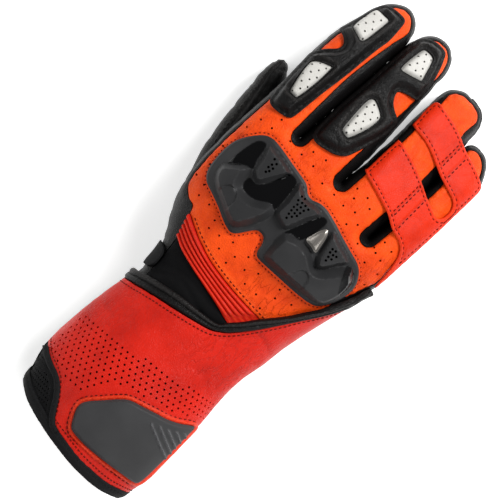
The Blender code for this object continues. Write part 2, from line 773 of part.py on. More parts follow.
def build_belts(outline, breaks, skin, collection):
    """The side walls and fourchettes round the fingers. Returns the seam lines that
    the back and the palm are cut to."""
    names = (
        "thumb_side_wall",
        "fourchette_index_middle",
        "fourchette_middle_ring",
        "fourchette_ring_little",
        "little_side_wall",
    )
    back_seam, palm_seam = [], []
    for i, name in enumerate(names):
        start = SEAM_GAP / 2 if i else 0.0
        end = SEAM_GAP / 2 if i < len(names) - 1 else 0.0
        plan, inset, inward = belt_samples(outline, breaks[i], breaks[i + 1], start, end)
        rows = []
        for side, depth_at_seam, steps in ((TOP, inset, (1.0, 0.5, 0.0)), (BOTTOM, units_across(PALM_INSET), (0.5, 1.0))):
            reach = skin.reach(plan, side)
            seam = np.broadcast_to(depth_at_seam, len(plan))
            full = np.arccos((1.0 - (seam - SEAM_GAP / 2) / reach) ** (SIDE_POWER / 2))
            for step in steps:
                depth = reach * (1.0 - np.cos(full * step) ** (2 / SIDE_POWER))
                rows.append(skin.lifted(plan + inward * depth[:, None], side, depth, inward))
            edge = plan + inward * (seam + SEAM_GAP / 2)[:, None]
            (back_seam if side == TOP else palm_seam).append(edge)
        points = np.stack([row[0] for row in rows], 1).reshape(-1, 3)
        normals = np.stack([row[1] for row in rows], 1).reshape(-1, 3)
        walled(
            name, points, normals, grid_faces(len(plan), len(rows)), 0.0, -HAND_LEATHER, "black_leather", collection
        )
    return np.vstack(back_seam), np.vstack(palm_seam)


def over_line(points, line, margin=0.0):
    """How far points lie above a line v(u), in plan."""
    return points[:, 1] - np.interp(points[:, 0], line[:, 0], line[:, 1]) - margin


def met_at(start, end, line, margin=0.0):
    """The point where a straight step crosses a line v(u)."""
    steps = start + (end - start) * np.linspace(0.0, 1.0, 400)[:, None]
    return steps[np.abs(over_line(steps, line, margin)).argmin()]


def above(path, line, margin):
    """The part of a path that lies above a line v(u), or below it for a negative margin,
    with its ends brought to the line."""
    over = over_line(path, line, margin) * np.sign(margin)
    kept = []
    for i in range(len(path)):
        if i and (over[i] > 0) != (over[i - 1] > 0):
            kept.append(met_at(path[i - 1], path[i], line, margin))
        if over[i] > 0:
            kept.append(path[i])
    return np.array(kept)


def line_between(line, start, end, longest):
    """The stretch of a line v(u) between two points, without its ends."""
    dense = at_lengths(line, np.linspace(0, lengths_along(line)[-1], 200))
    low, high = sorted((start[0], end[0]))
    dense = dense[(dense[:, 0] > low) & (dense[:, 0] < high)]
    count = max(2, int(lengths_along(dense)[-1] / longest))
    spread = at_lengths(dense, np.linspace(0, lengths_along(dense)[-1], count + 1))
    return spread[1:-1] if start[0] < end[0] else spread[1:-1][::-1]


def build_back(seam, skin, collection):
    """The orange back with its finger backs, the ribbed stretch panel and the wrist."""
    half = len(seam) // 2
    left, right = seam[:half], seam[half:]
    gap = SEAM_GAP / 2
    rib_top = metres(catmull(ACCORDION_TOP, 8))
    rib_foot = metres(catmull(ACCORDION_FOOT, 8))
    step = units_across(8.0)

    upper = above(seam, rib_top, gap)
    shared = line_between(rib_top + [0, gap], upper[-1], upper[0], step)
    outline = np.vstack([upper, shared])[::-1]
    plan, faces = triangulated(outline, units_across(SHEET_SPACING), skin, TOP)
    points, normals = skin.lifted(plan, TOP)
    walled("back_leather", points, normals, faces, 0.0, -HAND_LEATHER, "orange_leather", collection)

    wrist_left = above(left, rib_foot, -gap)
    wrist_right = above(right, rib_foot, -gap)
    shared = line_between(rib_foot - [0, gap], wrist_left[-1], wrist_right[0], step)
    end_left, end_right = wrist_left[0], wrist_right[-1]
    foot = np.linspace(end_right, end_left, 9)[1:-1]
    outline = np.vstack([wrist_left, shared, wrist_right, foot])[::-1]
    plan, faces = triangulated(outline, units_across(SHEET_SPACING * 1.3), skin, TOP)
    points, normals = skin.lifted(plan, TOP)
    walled("wrist_back", points, normals, faces, 0.0, -HAND_LEATHER, "black_textile", collection)

    columns, per_rib = 13, 3
    spread = np.linspace(0.0, 1.0, columns)
    spread = spread - 0.1 * np.sin(2 * math.pi * spread)
    rows = RIB_COUNT * per_rib + 1
    grid = []
    for b in np.linspace(0.0, 1.0, rows):
        edge = rib_foot * (1 - b) + rib_top * b + [0, gap * (1 - 2 * b)]
        low = crossing(left, edge)
        high = crossing(right, edge)
        run = at_lengths(edge, np.linspace(0, lengths_along(edge)[-1], 300))
        run = run[(run[:, 0] > low) & (run[:, 0] < high)]
        grid.append(at_lengths(run, lengths_along(run)[-1] * spread))
    plan = np.vstack(grid)
    points, normals = skin.lifted(plan, TOP)
    across = np.repeat(np.linspace(0.0, 1.0, rows), columns)
    welt = metres(WELT_TOP)
    free = plan[:, 1] - np.interp(plan[:, 0], welt[:, 0], welt[:, 1]) - units_across(6)
    rib = RIB_HEIGHT * np.abs(np.sin(math.pi * RIB_COUNT * across)) ** 0.8
    rib *= smoothstep(free / units_across(10))
    faces = [face[::-1] for face in grid_faces(rows, columns)]
    walled("accordion_panel", points, normals, faces, rib, rib - HAND_LEATHER, "red_leather", collection)


def crossing(path, line):
    """Where a side seam crosses a line v(u), as x."""
    i = int(np.flatnonzero(np.diff(np.sign(over_line(path, line))) != 0)[0])
    return met_at(path[i], path[i + 1], line)[0]


def build_palm(seam, skin, thumb_hole, collection):
    """The palm with its finger fronts, pierced where the thumb is set in."""
    step = units_across(LONG_STEP)
    count = int(np.linalg.norm(seam[-1] - seam[0]) / step)
    outline = np.vstack([seam, np.linspace(seam[-1], seam[0], count)[1:-1]])[::-1]
    plan, faces = triangulated(outline, units_across(SHEET_SPACING * 1.3), skin, BOTTOM)
    points, normals = skin.lifted(plan, BOTTOM)
    palm = walled(
        "palm_leather", points, normals, faces[:, ::-1], 0.0, -HAND_LEATHER, "black_leather", collection
    )
    for piece in (palm, bpy.data.objects["thumb_side_wall"]):
        cut = piece.modifiers.new("thumb_hole", "BOOLEAN")
        cut.operation = "DIFFERENCE"
        cut.object = thumb_hole


def thumb_ring(section, grow):
    """One ring of the thumb, square to its middle line's plan direction."""
    u, v, z, half_width, half_height, way = section
    side = np.array([way[1], -way[0]])
    centre = metres([(u, v)])[0]
    ring = []
    for k in range(THUMB_SIDES):
        turn = 2 * math.pi * k / THUMB_SIDES
        c, s = math.cos(turn), math.sin(turn)
        x = math.copysign(abs(c) ** (2 / THUMB_POWER), c) * (units_across(half_width) + grow)
        y = math.copysign(abs(s) ** (2 / THUMB_POWER), s) * (half_height * KNUCKLE_HEIGHT + grow)
        ring.append((*(centre + side * x), z * KNUCKLE_HEIGHT + y))
    return ring


def thumb_surface(grow):
    """The thumb's outer surface as rings and a tip, with its root left open."""
    rows = catmull(THUMB_SECTIONS, 1)
    way = np.gradient(rows[:, :2] * UNIT, axis=0)
    way /= np.linalg.norm(way, axis=1)[:, None]
    vertices = []
    for row, direction in zip(rows, way):
        vertices += thumb_ring((*row, direction), grow)
    u, v, z = THUMB_TIP
    tip = metres([(u, v)])[0] + way[-1] * grow
    vertices.append((*tip, z * KNUCKLE_HEIGHT))
    faces = grid_faces(len(rows), THUMB_SIDES, closed=True)
    last = (len(rows) - 1) * THUMB_SIDES
    faces += [(last + k, len(vertices) - 1, last + (k + 1) % THUMB_SIDES) for k in range(THUMB_SIDES)]
    return vertices, faces


def build_thumb(collection, cutters):
    """The thumb's tube of leather, and the cutter for the hole that it is set in."""
    vertices, faces = thumb_surface(0.0)
    thumb = add_object("thumb", vertices, faces, "black_leather", collection)
    wall = thumb.modifiers.new("wall", "SOLIDIFY")
    wall.thickness = THUMB_LEATHER
    wall.offset = -1.0
    vertices, faces = thumb_surface(HOLE_CLEARANCE)
    faces.append(tuple(range(THUMB_SIDES)))
    hole = add_object("thumb_hole_cutter", vertices, faces, None, cutters)
    hole.hide_render = True
    hole.display_type = "WIRE"
    return hole


def cuff_point(v, turn):
    """The cuff's plan point at v, so many quarters round from its right edge over the
    back. Half a turn of four quarters is the left edge."""
    rows = np.asarray(CUFF_SIDES, float)[::-1]
    left = np.interp(v, rows[:, 0], rows[:, 1])
    right = np.interp(v, rows[:, 0], rows[:, 2])
    from_right = min(turn, 4.0 - turn)
    steps = len(CUFF_COLUMNS) - 1
    share = np.interp(min(from_right, 2.0 - from_right) * steps, range(steps + 1), CUFF_COLUMNS)
    half = (right - left) / 2
    return right - share * half if from_right <= 1.0 else left + share * half


def meeting_v(turn, line):
    """Where a column of the cuff meets a line v(u) that is drawn on the back."""
    rows = catmull(line, 8)
    v = np.linspace(80, -290, 1500)
    u = np.array([cuff_point(value, turn) for value in v])
    over = v - np.interp(u, rows[:, 0], rows[:, 1])
    return v[int(np.flatnonzero(over < 0)[0])]


def cuff_lines(turn):
    """The v of one column's crossings: welt top, welt foot, red foot, band top, mouth."""
    band = MOUTH_BAND_WIDTH / ALONG
    if turn <= 2.0:
        mouth = meeting_v(turn, MOUTH)
        foot = meeting_v(turn, CUFF_FOOT)
        if foot < mouth + band + 4.0:
            foot = mouth + band
        return meeting_v(turn, WELT_TOP), meeting_v(turn, WELT_FOOT), foot, mouth + band, mouth
    rows = np.asarray(CUFF_PALM_EDGES, float)
    share = (4.0 - turn) / 2
    top = np.interp(share, rows[:, 0], rows[:, 1])
    mouth = np.interp(share, rows[:, 0], rows[:, 2])
    return top, top - WELT_PALM_DEPTH, mouth + band, mouth + band, mouth


def cuff_panel(name, skin, spans, rows, outer, inner, finish, collection, closed=False):
    """A panel of the cuff. spans holds each column's quarters round and its upper and
    lower v. outer and inner are offsets from the skin for each row."""
    points, normals = [], []
    for number, (turn, high, low) in enumerate(spans):
        v = np.linspace(high, low, rows)
        plan = metres(np.column_stack([[cuff_point(value, turn) for value in v], v]))
        side = TOP if turn <= 2.0 else BOTTOM
        if turn % 2.0 == 0.0:
            inward = np.tile([-1.0 if turn % 4.0 == 0.0 else 1.0, 0.0], (rows, 1))
            place, normal = skin.lifted(plan, TOP, np.zeros(rows), inward)
            if not closed:
                over_back = max(span[0] for span in spans) <= 2.0
                place[:, 2] += SEAM_GAP / 2 if over_back else -SEAM_GAP / 2
        else:
            place, normal = skin.lifted(plan, side)
        points.append(place)
        normals.append(normal)
    points = np.stack(points, 1).reshape(-1, 3)
    normals = np.stack(normals, 1).reshape(-1, 3)
    pressed = smoothstep((normals[:, 2] + 1.0) / 0.5)
    outer = np.repeat(np.broadcast_to(outer, rows), len(spans)) * pressed
    inner = np.repeat(np.broadcast_to(inner, rows), len(spans))
    faces = [face[::-1] for face in grid_faces(rows, len(spans), closed)]
    return walled(name, points, normals, faces, outer, inner, finish, collection)


def slanted_gaps(skin, line):
    """Half a seam gap as a distance along v, for each column that a seam crosses."""
    turns = list(line)
    points = []
    for turn in turns:
        inside = min(max(turn % 2.0, 0.01), 1.99) + 2.0 * (turn // 2.0)
        plan = metres([(cuff_point(line[turn], inside), line[turn])])
        points.append(skin.lifted(plan, TOP if turn <= 2.0 else BOTTOM)[0][0])
    points = np.array(points)
    steps = np.roll(points, -1, axis=0) - points
    around = np.linalg.norm(steps[:, [0, 2]], axis=1)
    slope = np.abs(steps[:, 1]) / np.maximum(around, 1e-6)
    slope = np.minimum(np.maximum(slope, np.roll(slope, 1)), 4.0)
    gaps = SEAM_GAP / ALONG / 2 * (np.sqrt(1 + slope**2) + 0.6 * slope * (np.array(turns) > 2.0))
    return dict(zip(turns, gaps))


def build_cuff(skin, collection):
    """The gauntlet: red back, black palm side, welt, mouth band and the gusset that
    shows in the cut-out at the left."""
    step = 1.0 / (len(CUFF_COLUMNS) - 1)
    all_turns = np.arange(0, 4.0, step)
    lines = {turn: cuff_lines(turn) for turn in all_turns}
    gap = SEAM_GAP / ALONG / 2
    welt_gap = slanted_gaps(skin, {turn: line[1] for turn, line in lines.items()})
    foot_gap = slanted_gaps(skin, {turn: line[2] for turn, line in lines.items()})
    roll = np.sin(np.linspace(0.2, math.pi - 0.2, 4)) ** 0.6

    over_back = [turn for turn in all_turns if turn <= 2.0]
    spans = [(turn, lines[turn][1] - welt_gap[turn], lines[turn][2] + foot_gap[turn]) for turn in over_back]
    cuff_panel("cuff_back", skin, spans, CUFF_ROWS, 0.0, -CUFF_LEATHER, "red_leather", collection)

    under = [turn for turn in all_turns if turn >= 2.0]
    spans = [(turn, lines[turn][1] - welt_gap[turn], lines[turn][3] + gap) for turn in under]
    spans.append((4.0, lines[0.0][1] - welt_gap[0.0], lines[0.0][3] + gap))
    cuff_panel("cuff_palm", skin, spans, CUFF_ROWS, 0.0, -CUFF_LEATHER, "black_leather", collection)

    spans = [(turn, lines[turn][0], lines[turn][1] + welt_gap[turn]) for turn in all_turns]
    cuff_panel(
        "cuff_welt", skin, spans, 4, WELT_RISE * roll, -CUFF_LEATHER, "black_leather", collection, closed=True
    )
    spans = [(turn, lines[turn][3] - gap, lines[turn][4]) for turn in all_turns]
    cuff_panel(
        "mouth_band", skin, spans, 3, BINDING_RISE * roll[:3], -CUFF_LEATHER, "black_textile",
        collection, closed=True,
    )

    open_turns = [turn for turn in over_back if lines[turn][2] - lines[turn][3] > 4.0]
    first = min(open_turns)
    blend = 0.75
    foot = (1 - blend) * lines[first][2] + blend * lines[first - step][2]
    top = (1 - blend) * lines[first][3] + blend * lines[first - step][3]
    spans = [(first - blend * step, foot - 2 * gap, top + gap)]
    spans += [(turn, lines[turn][2] - foot_gap[turn], lines[turn][3] + gap) for turn in open_turns]
    cuff_panel(
        "cuff_gusset", skin, spans, 4, -GUSSET_RECESS, -GUSSET_RECESS - 0.6 * CUFF_LEATHER,
        "black_textile", collection,
    )

    line = metres(catmull(CUFF_FOOT, 8))
    depth = nearest_on(skin.edge, line)[0]
    inside = is_inside(skin.edge, line) & (depth > units_across(3.0))
    line = line[inside & (line[:, 0] < metres([(-6, 0)])[0, 0])]
    line = line[thinned(line, units_across(LONG_STEP * 0.5), TURN_STEP)]
    binding_strip("flap_binding", skin, line, FLAP_BINDING_WIDTH, collection)


def binding_strip(name, skin, path, width, collection):
    """A folded tape of even width, laid over an edge along a plan path on the back."""
    way = np.gradient(path, axis=0)
    way /= np.linalg.norm(way, axis=1)[:, None]
    left = np.column_stack([-way[:, 1], way[:, 0]])
    share = np.linspace(0.0, 1.0, 4)
    plan = np.stack([path + left * (width * (s - 0.65)) for s in share], 1).reshape(-1, 2)
    points, normals = skin.lifted(plan, TOP)
    height = LAYER_GAP + BINDING_RISE * (0.7 + 0.6 * np.sin(math.pi * share))
    outer = np.tile(height, len(path))
    walled(
        name, points, normals, grid_faces(len(path), 4), outer, LAYER_GAP, "black_textile", collection
    )


def plate(name, skin, outline, outer, inner, finish, collection, holes=()):
    """A piece laid on the back of a skin. outer gives the height of its upper face
    above the skin at plan points, and inner is the height of its lower face."""
    plan, faces = triangulated(outline, units_across(PLATE_SPACING), skin, TOP, holes, PLATE_RINGS)
    points, normals = skin.lifted(plan, TOP)
    return walled(name, points, normals, faces, outer(plan), inner, finish, collection)


def rounded_plate(name, skin, outline, thickness, finish, collection, holes=(), edge_share=0.55, slope=0.0016):
    """A padded piece: full thickness inside, thinner at its outline and holes."""

    def outer(plan):
        full = edge_offset(plan, [outline, *holes], slope)
        return LAYER_GAP + thickness * (edge_share + (1 - edge_share) * full)

    return plate(name, skin, outline, outer, LAYER_GAP, finish, collection, holes)


def build_pads(skin, collection):
    """The padded index and middle fingers and the four pale panels let into them."""
    sets = (
        ("index", INDEX_PAD, INDEX_WINDOW_FAR, INDEX_WINDOW_NEAR),
        ("middle", MIDDLE_PAD, MIDDLE_WINDOW_FAR, MIDDLE_WINDOW_NEAR),
    )
    for finger, pad, far, near in sets:
        windows = [closed_outline(far, skin), closed_outline(near, skin)]
        rounded_plate(
            finger + "_pad", skin, closed_outline(pad, skin), PAD_THICKNESS, "black_leather", collection, windows
        )
        for place, window in zip(("far", "near"), windows):
            inset = shrunk(window, HOLE_CLEARANCE + 0.0002)
            rounded_plate(
                finger + "_" + place + "_panel", skin, inset, INSERT_THICKNESS, "white_leather", collection
            )


def build_guard(skin, collection):
    """The hard knuckle guard with its raised shells, and the bare slider let into it."""
    shells = [(share, units_across(ramp), closed_outline(outline, skin)) for share, ramp, outline in GUARD_SHELLS]
    slider = closed_outline(SLIDER, skin)
    outline = closed_outline(KNUCKLE_GUARD, skin)

    def outer(plan):
        rise = np.zeros(len(plan))
        for share, ramp, shell in shells:
            inside = is_inside(shell, plan)
            distance = nearest_on(np.vstack([shell, shell[:1]]), plan)[0]
            rise = np.maximum(rise, np.where(inside, share * smoothstep(distance / ramp), 0.0))
        edge = edge_offset(plan, [outline, slider], units_across(5))
        return LAYER_GAP + GUARD_FLANGE * (0.6 + 0.4 * edge) + GUARD_RELIEF * rise * edge

    plate("knuckle_guard", skin, outline, outer, LAYER_GAP, "guard_plastic", collection, [slider])
    inset = shrunk(slider, HOLE_CLEARANCE + 0.0002)
    rounded_plate("guard_slider", skin, inset, SLIDER_THICKNESS, "slider_plastic", collection)


def build_wrist_strap(outline, skin, collection):
    """The strap that comes round the left of the wrist and across under the palm."""
    end_u, low_v, high_v = WRIST_STRAP
    stretch = outline[:60, :2]
    v = np.linspace(low_v, high_v, 4)
    y = metres(np.column_stack([v, v]))[:, 1]
    edge = np.column_stack([np.interp(y, stretch[:, 1], stretch[:, 0]), y])
    inward = np.tile([1.0, 0.0], (4, 1))
    rows = []
    for side, depths in ((TOP, (8.5, 4.2, 1.4, 0.0)), (BOTTOM, (1.4, 4.5, 10.0, 20.0, 36.0))):
        for depth in depths:
            across = units_across(depth)
            if depth:
                rows.append(skin.lifted(edge + inward * across, side))
            else:
                rows.append(skin.lifted(edge, side, np.zeros(4), inward))
    start = edge + inward * units_across(36.0)
    for share in (0.25, 0.5, 0.75, 1.0):
        end_x = metres([(end_u, 0)])[0, 0] - units_across(5.0) * np.abs(np.linspace(-1, 1, 4)) ** 2 * share
        plan = np.column_stack([start[:, 0] + (end_x - start[:, 0]) * share, start[:, 1]])
        rows.append(skin.lifted(plan, BOTTOM))
    points = np.stack([row[0] for row in rows], 1).reshape(-1, 3)
    normals = np.stack([row[1] for row in rows], 1).reshape(-1, 3)
    edge_share = np.repeat([0.6, 1.0, 1.0, 0.6], len(rows))
    walled(
        "wrist_strap", points, normals, grid_faces(4, len(rows)), STRAP_GAP + STRAP_THICKNESS * edge_share,
        STRAP_GAP, "black_textile", collection,
    )


def remove_all_objects():
    for thing in list(bpy.data.objects):
        bpy.data.objects.remove(thing)


def main():
    remove_all_objects()
    glove = bpy.data.collections.new("motorcycle_glove")
    cutters = bpy.data.collections.new("cutters")
    bpy.context.scene.collection.children.link(glove)
    bpy.context.scene.collection.children.link(cutters)

    outline, breaks = hand_outline()
    rows = np.asarray(HAND_HEIGHTS, float)
    back, palm = Heights(rows[:, [0, 1, 2]]), Heights(rows[:, [0, 1, 3]])
    hand = Skin(outline[:, :2], back, palm)
    back_seam, palm_seam = build_belts(outline, breaks, hand, glove)
    hole = build_thumb(glove, cutters)
    build_back(back_seam, hand, glove)
    build_palm(palm_seam, hand, hole, glove)
    build_wrist_strap(outline, hand, glove)
    build_pads(hand, glove)
    build_guard(hand, glove)

    slot = np.array([metres([(66, 0)])[0, 0], metres([(0, 84)])[0, 1]])
    end = np.array([metres([(94, 0)])[0, 0], metres([(0, 240)])[0, 1]])
    inside_slot = (outline[:, 0] > slot[0]) & (outline[:, 0] < end[0])
    inside_slot &= (outline[:, 1] > slot[1]) & (outline[:, 1] < end[1])
    joined = Skin(outline[~inside_slot, :2], back, palm)
    rounded_plate(
        "finger_strap", joined, closed_outline(FINGER_STRAP, joined), STRAP_THICKNESS, "red_leather", glove,
        edge_share=0.8,
    )

    sides = np.asarray(CUFF_SIDES, float)
    edge = np.vstack([sides[::-1][:, [1, 0]], sides[:, [2, 0]]])
    edge = metres(edge)
    edge = at_lengths(edge, np.arange(0.0, lengths_along(edge)[-1], units_across(5.0)))
    cuff = Skin(edge, back, palm, CUFF_CLEARANCE)
    build_cuff(cuff, glove)
    rounded_plate(
        "cuff_armour", cuff, closed_outline(CUFF_ARMOUR, cuff), ARMOUR_THICKNESS, "guard_plastic", glove,
        edge_share=0.5, slope=0.003,
    )


main()
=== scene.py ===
"""Looks of a right-hand summer motorcycle glove with a long cuff, lying palm down.

Each soft piece is cut from the same plan as its solid, at a finer pitch, and lifted on to
the same skin, with its own folds, rolled edges, perforations and stitches. Lengths are in
metres, and the plan is drawn in pattern units, (u, v), as in the part's source.
"""

import math

import bpy
import numpy as np
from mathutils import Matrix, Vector
from mathutils.geometry import delaunay_2d_cdt


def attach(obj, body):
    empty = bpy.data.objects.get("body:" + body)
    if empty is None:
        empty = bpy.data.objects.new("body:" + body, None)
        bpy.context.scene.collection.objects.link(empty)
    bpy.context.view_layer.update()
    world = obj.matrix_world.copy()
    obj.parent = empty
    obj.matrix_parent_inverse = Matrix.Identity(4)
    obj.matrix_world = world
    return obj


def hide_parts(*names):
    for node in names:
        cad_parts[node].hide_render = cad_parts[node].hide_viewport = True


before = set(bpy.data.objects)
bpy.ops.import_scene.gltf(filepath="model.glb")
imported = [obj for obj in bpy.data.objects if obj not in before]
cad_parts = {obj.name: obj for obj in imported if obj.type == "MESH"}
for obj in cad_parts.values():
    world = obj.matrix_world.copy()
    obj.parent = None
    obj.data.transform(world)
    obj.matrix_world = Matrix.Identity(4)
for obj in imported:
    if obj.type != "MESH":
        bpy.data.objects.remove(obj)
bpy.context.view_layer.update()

# Driving sizes, as in the solids
GLOVE_LENGTH = 0.300
HAND_WIDTH = 0.116
KNUCKLE_HEIGHT = 0.050
HAND_LEATHER = 0.0016
CUFF_LEATHER = 0.0020
THUMB_LEATHER = 0.0016
SEAM_GAP = 0.0004
LAYER_GAP = 0.0005
STRAP_GAP = 0.0009
HOLE_CLEARANCE = 0.0004
RIB_HEIGHT = 0.0016
RIB_COUNT = 5
PAD_THICKNESS = 0.0030
INSERT_THICKNESS = 0.0018
STRAP_THICKNESS = 0.0014
GUARD_FLANGE = 0.0018
GUARD_RELIEF = 0.0062
ARMOUR_THICKNESS = 0.0026
WELT_RISE = 0.0010
FLAP_BINDING_WIDTH = 0.0030
MOUTH_BAND_WIDTH = 0.0052
BINDING_RISE = 0.0007
GUSSET_RECESS = 0.0008
CUFF_CLEARANCE = 0.0029

# The pattern grid
PATTERN_LENGTH = 562.0
PATTERN_WIDTH = 217.0
PATTERN_CENTRE = np.array([2.6, 5.0])
ACROSS = HAND_WIDTH / PATTERN_WIDTH
ALONG = GLOVE_LENGTH / PATTERN_LENGTH
UNIT = np.array([ACROSS, ALONG])

TOP = 1
BOTTOM = -1

# How square the rounded sides of the stuffed glove are: 2 is an ellipse
SIDE_POWER = 2.2

# Fineness of the cut pieces
CUT_PITCH = 0.00115
PLATE_PITCH = 0.00075
TRIANGLE_ROW = 0.866
# A cut piece has rings of points this far in from its rim
RIM_RINGS = (0.00025, 0.0006, 0.0011)
STITCH_PITCH = 0.0025
STITCH_LENGTH = 0.0017
THREAD_RADIUS = 0.00030
FINE_THREAD = 0.0002
LONG_STITCH_PITCH = 0.0026
PERFORATION_RADIUS = 0.00066
CUFF_HOLE_RADIUS = 0.00068
# How far a frame laps over the panel in its window
WINDOW_LAP = 0.0007
PANEL_INSET = HOLE_CLEARANCE + 0.0002
# How far the band at the mouth laps over the leather, in pattern units
BAND_LAP = 1.4
# The side walls all but meet at the fingertips
TIP_SEAM_GAP = 0.00004

# Each finger from its root to where its tip starts to round: v and u of the left
# edge, v and u of the right edge, seam insets on the left and on the right
FINGER_SECTIONS = {
    "index": (
        (116, -95.8, 114, -44.0, 3.0, 8.5),
        (150, -94.9, 150, -41.5, 3.0, 11.0),
        (184, -95.4, 184, -39.2, 3.0, 13.0),
        (216, -93.4, 216, -37.0, 3.0, 12.0),
        (246, -86.2, 246, -35.4, 4.0, 9.0),
    ),
    "middle": (
        (114, -42.8, 112, 16.6, 8.0, 8.5),
        (150, -40.0, 150, 18.4, 6.0, 9.0),
        (184, -37.6, 184, 17.4, 5.0, 7.0),
        (216, -35.4, 216, 15.4, 5.0, 3.4),
        (250, -33.8, 250, 13.8, 5.0, 2.2),
    ),
    "ring": (
        (112, 18.0, 92, 74.4, 8.0, 8.0),
        (150, 21.6, 140, 78.4, 7.0, 7.5),
        (184, 23.2, 176, 80.2, 7.5, 7.5),
        (216, 24.0, 216, 78.0, 7.0, 7.0),
        (238, 25.2, 238, 76.2, 6.0, 6.5),
    ),
    "little": (
        (92, 75.8, 94, 117.2, 8.0, 2.0),
        (125, 79.8, 125, 118.6, 7.0, 2.0),
        (155, 81.6, 155, 119.8, 7.0, 2.0),
        (178, 82.6, 178, 120.4, 7.0, 2.0),
        (198, 82.0, 198, 120.8, 6.0, 2.0),
    ),
}
# The rounded tips: v of the tip, how far its peak leans across, its squareness
FINGER_TIPS = {
    "index": (284, 4.3, 2.0),
    "middle": (286, 1.7, 2.25),
    "ring": (265, 0.0, 2.5),
    "little": (234, -8.4, 2.4),
}
CROTCH_INSET = 8.0
TIP_INSET = 3.0

# The hand's left side from the wrist up to the index finger: v, u, seam inset
HAND_LEFT = (
    (-125, -62.6, 7.0),
    (-95, -63.0, 7.0),
    (-62, -65.4, 7.0),
    (-44, -73.0, 13.0),
    (-28, -82.6, 17.5),
    (-16, -88.4, 17.5),
    (-8, -91.2, 9.0),
    (2, -94.0, 4.0),
    (20, -97.2, 3.0),
    (56, -98.2, 3.0),
    (88, -97.4, 3.0),
)
# The hand's right side from the little finger down to the wrist
HAND_RIGHT = (
    (76, 115.8, 2.0),
    (62, 114.6, 2.5),
    (50, 110.4, 3.0),
    (36, 106.8, 4.0),
    (20, 102.0, 5.0),
    (0, 97.0, 5.0),
    (-24, 91.2, 6.0),
    (-48, 86.6, 7.0),
    (-72, 83.6, 7.0),
    (-100, 78.6, 7.0),
    (-125, 77.6, 7.0),
)
PALM_INSET = 5.0

# The cuff's sides from above: v, left edge, right edge
CUFF_SIDES = (
    (72, -106.0, 121.5),
    (50, -105.0, 115.6),
    (36, -104.0, 112.6),
    (20, -103.0, 108.4),
    (0, -100.0, 103.4),
    (-24, -92.0, 97.8),
    (-48, -78.0, 93.2),
    (-72, -70.5, 90.6),
    (-95, -68.6, 86.0),
    (-112, -69.4, 84.8),
    (-130, -73.0, 85.4),
    (-158, -76.4, 87.6),
    (-190, -78.8, 90.2),
    (-212, -78.4, 90.4),
    (-224, -75.6, 90.2),
    (-236, -71.8, 89.6),
    (-250, -69.6, 87.0),
    (-264, -66.4, 83.4),
    (-278, -61.0, 79.5),
)

# How far the sides stay rounded, measured in from the edge: v, reach
ROUNDING = (
    (290, 18.0),
    (170, 18.0),
    (110, 20.0),
    (60, 26.0),
    (0, 36.0),
    (-60, 52.0),
    (-110, 66.0),
    (-200, 78.0),
    (-280, 72.0),
)
UNDER_ROUNDING_SHARE = 0.72

# Heights of the stuffed hand as shares of KNUCKLE_HEIGHT: u, v, back, palm
HAND_HEIGHTS = (
    (-58, 276, 0.38, 0.00),
    (-62, 240, 0.57, 0.10),
    (-67, 190, 0.78, 0.30),
    (-70, 122, 0.94, 0.46),
    (-9, 278, 0.38, 0.00),
    (-11, 240, 0.59, 0.10),
    (-11, 190, 0.80, 0.30),
    (-12, 122, 0.98, 0.38),
    (50, 256, 0.38, 0.00),
    (51, 215, 0.58, 0.08),
    (52, 170, 0.76, 0.22),
    (47, 116, 0.93, 0.28),
    (96, 226, 0.36, 0.00),
    (102, 190, 0.52, 0.06),
    (101, 150, 0.66, 0.16),
    (97, 104, 0.80, 0.20),
    (-95, 60, 0.90, 0.47),
    (-50, 60, 1.00, 0.38),
    (0, 60, 1.00, 0.26),
    (50, 56, 0.95, 0.18),
    (104, 50, 0.78, 0.13),
    (-92, 22, 0.86, 0.42),
    (-82, -12, 0.82, 0.10),
    (-40, 0, 0.95, 0.10),
    (20, 0, 0.95, 0.07),
    (80, 0, 0.82, 0.07),
    (-60, -60, 0.80, 0.060),
    (10, -60, 0.87, 0.060),
    (78, -60, 0.80, 0.070),
    (-60, -125, 0.85, 0.058),
    (10, -125, 0.92, 0.058),
    (75, -125, 0.86, 0.058),
    (-62, -200, 0.92, 0.050),
    (10, -200, 1.02, 0.050),
    (78, -200, 0.96, 0.050),
    (-60, -275, 0.84, 0.040),
    (10, -275, 0.98, 0.040),
    (78, -275, 0.90, 0.040),
)

# Seams across the back: u, v
ACCORDION_TOP = ((-76, -13), (-70, -15.5), (-46, -27), (-22, -35), (2, -39), (26, -41), (56, -42),
    (84, -42))
ACCORDION_FOOT = ((-66, -39.5), (-58, -43), (-48, -48), (-30, -53), (-6, -58), (18, -63), (34, -67),
    (78, -73))
# The welt round the cuff's upper edge on the back, from the left side to the
# right, as its upper line and its lower line: u, v
WELT_TOP = (
    (-75, -95), (-64, -93), (-57, -90), (-20, -81), (10, -77.5), (29, -74), (36, -66), (46, -55),
    (56, -42), (74, -21), (85, -5), (95, 9.5), (106, 31), (111, 44), (113.5, 53), (116, 57),
)
WELT_FOOT = (
    (-78, -109), (-68, -107.5), (-40, -100), (0, -91), (26, -84), (36, -78.5), (44, -72), (59.6, -53),
    (79, -24), (90, -7), (101, 10), (108, 23), (112.4, 34), (114, 48), (116, 51.5),
)
# The cuff's red lower edge on the back, with the cut-out at the left: u, v
CUFF_FOOT = (
    (-84, -203),
    (-78, -208),
    (-71, -214),
    (-60, -219),
    (-49, -222.5),
    (-40, -228),
    (-32, -237),
    (-25, -248),
    (-18, -257),
    (-8, -261.5),
    (26, -263.5),
    (58, -262),
    (90, -257),
)
# The mouth's lowest edge on the back: u, v
MOUTH = ((-75, -247), (-60, -257), (-46, -263), (-22, -268.5), (0, -272), (30, -275), (60, -274),
    (86, -267))
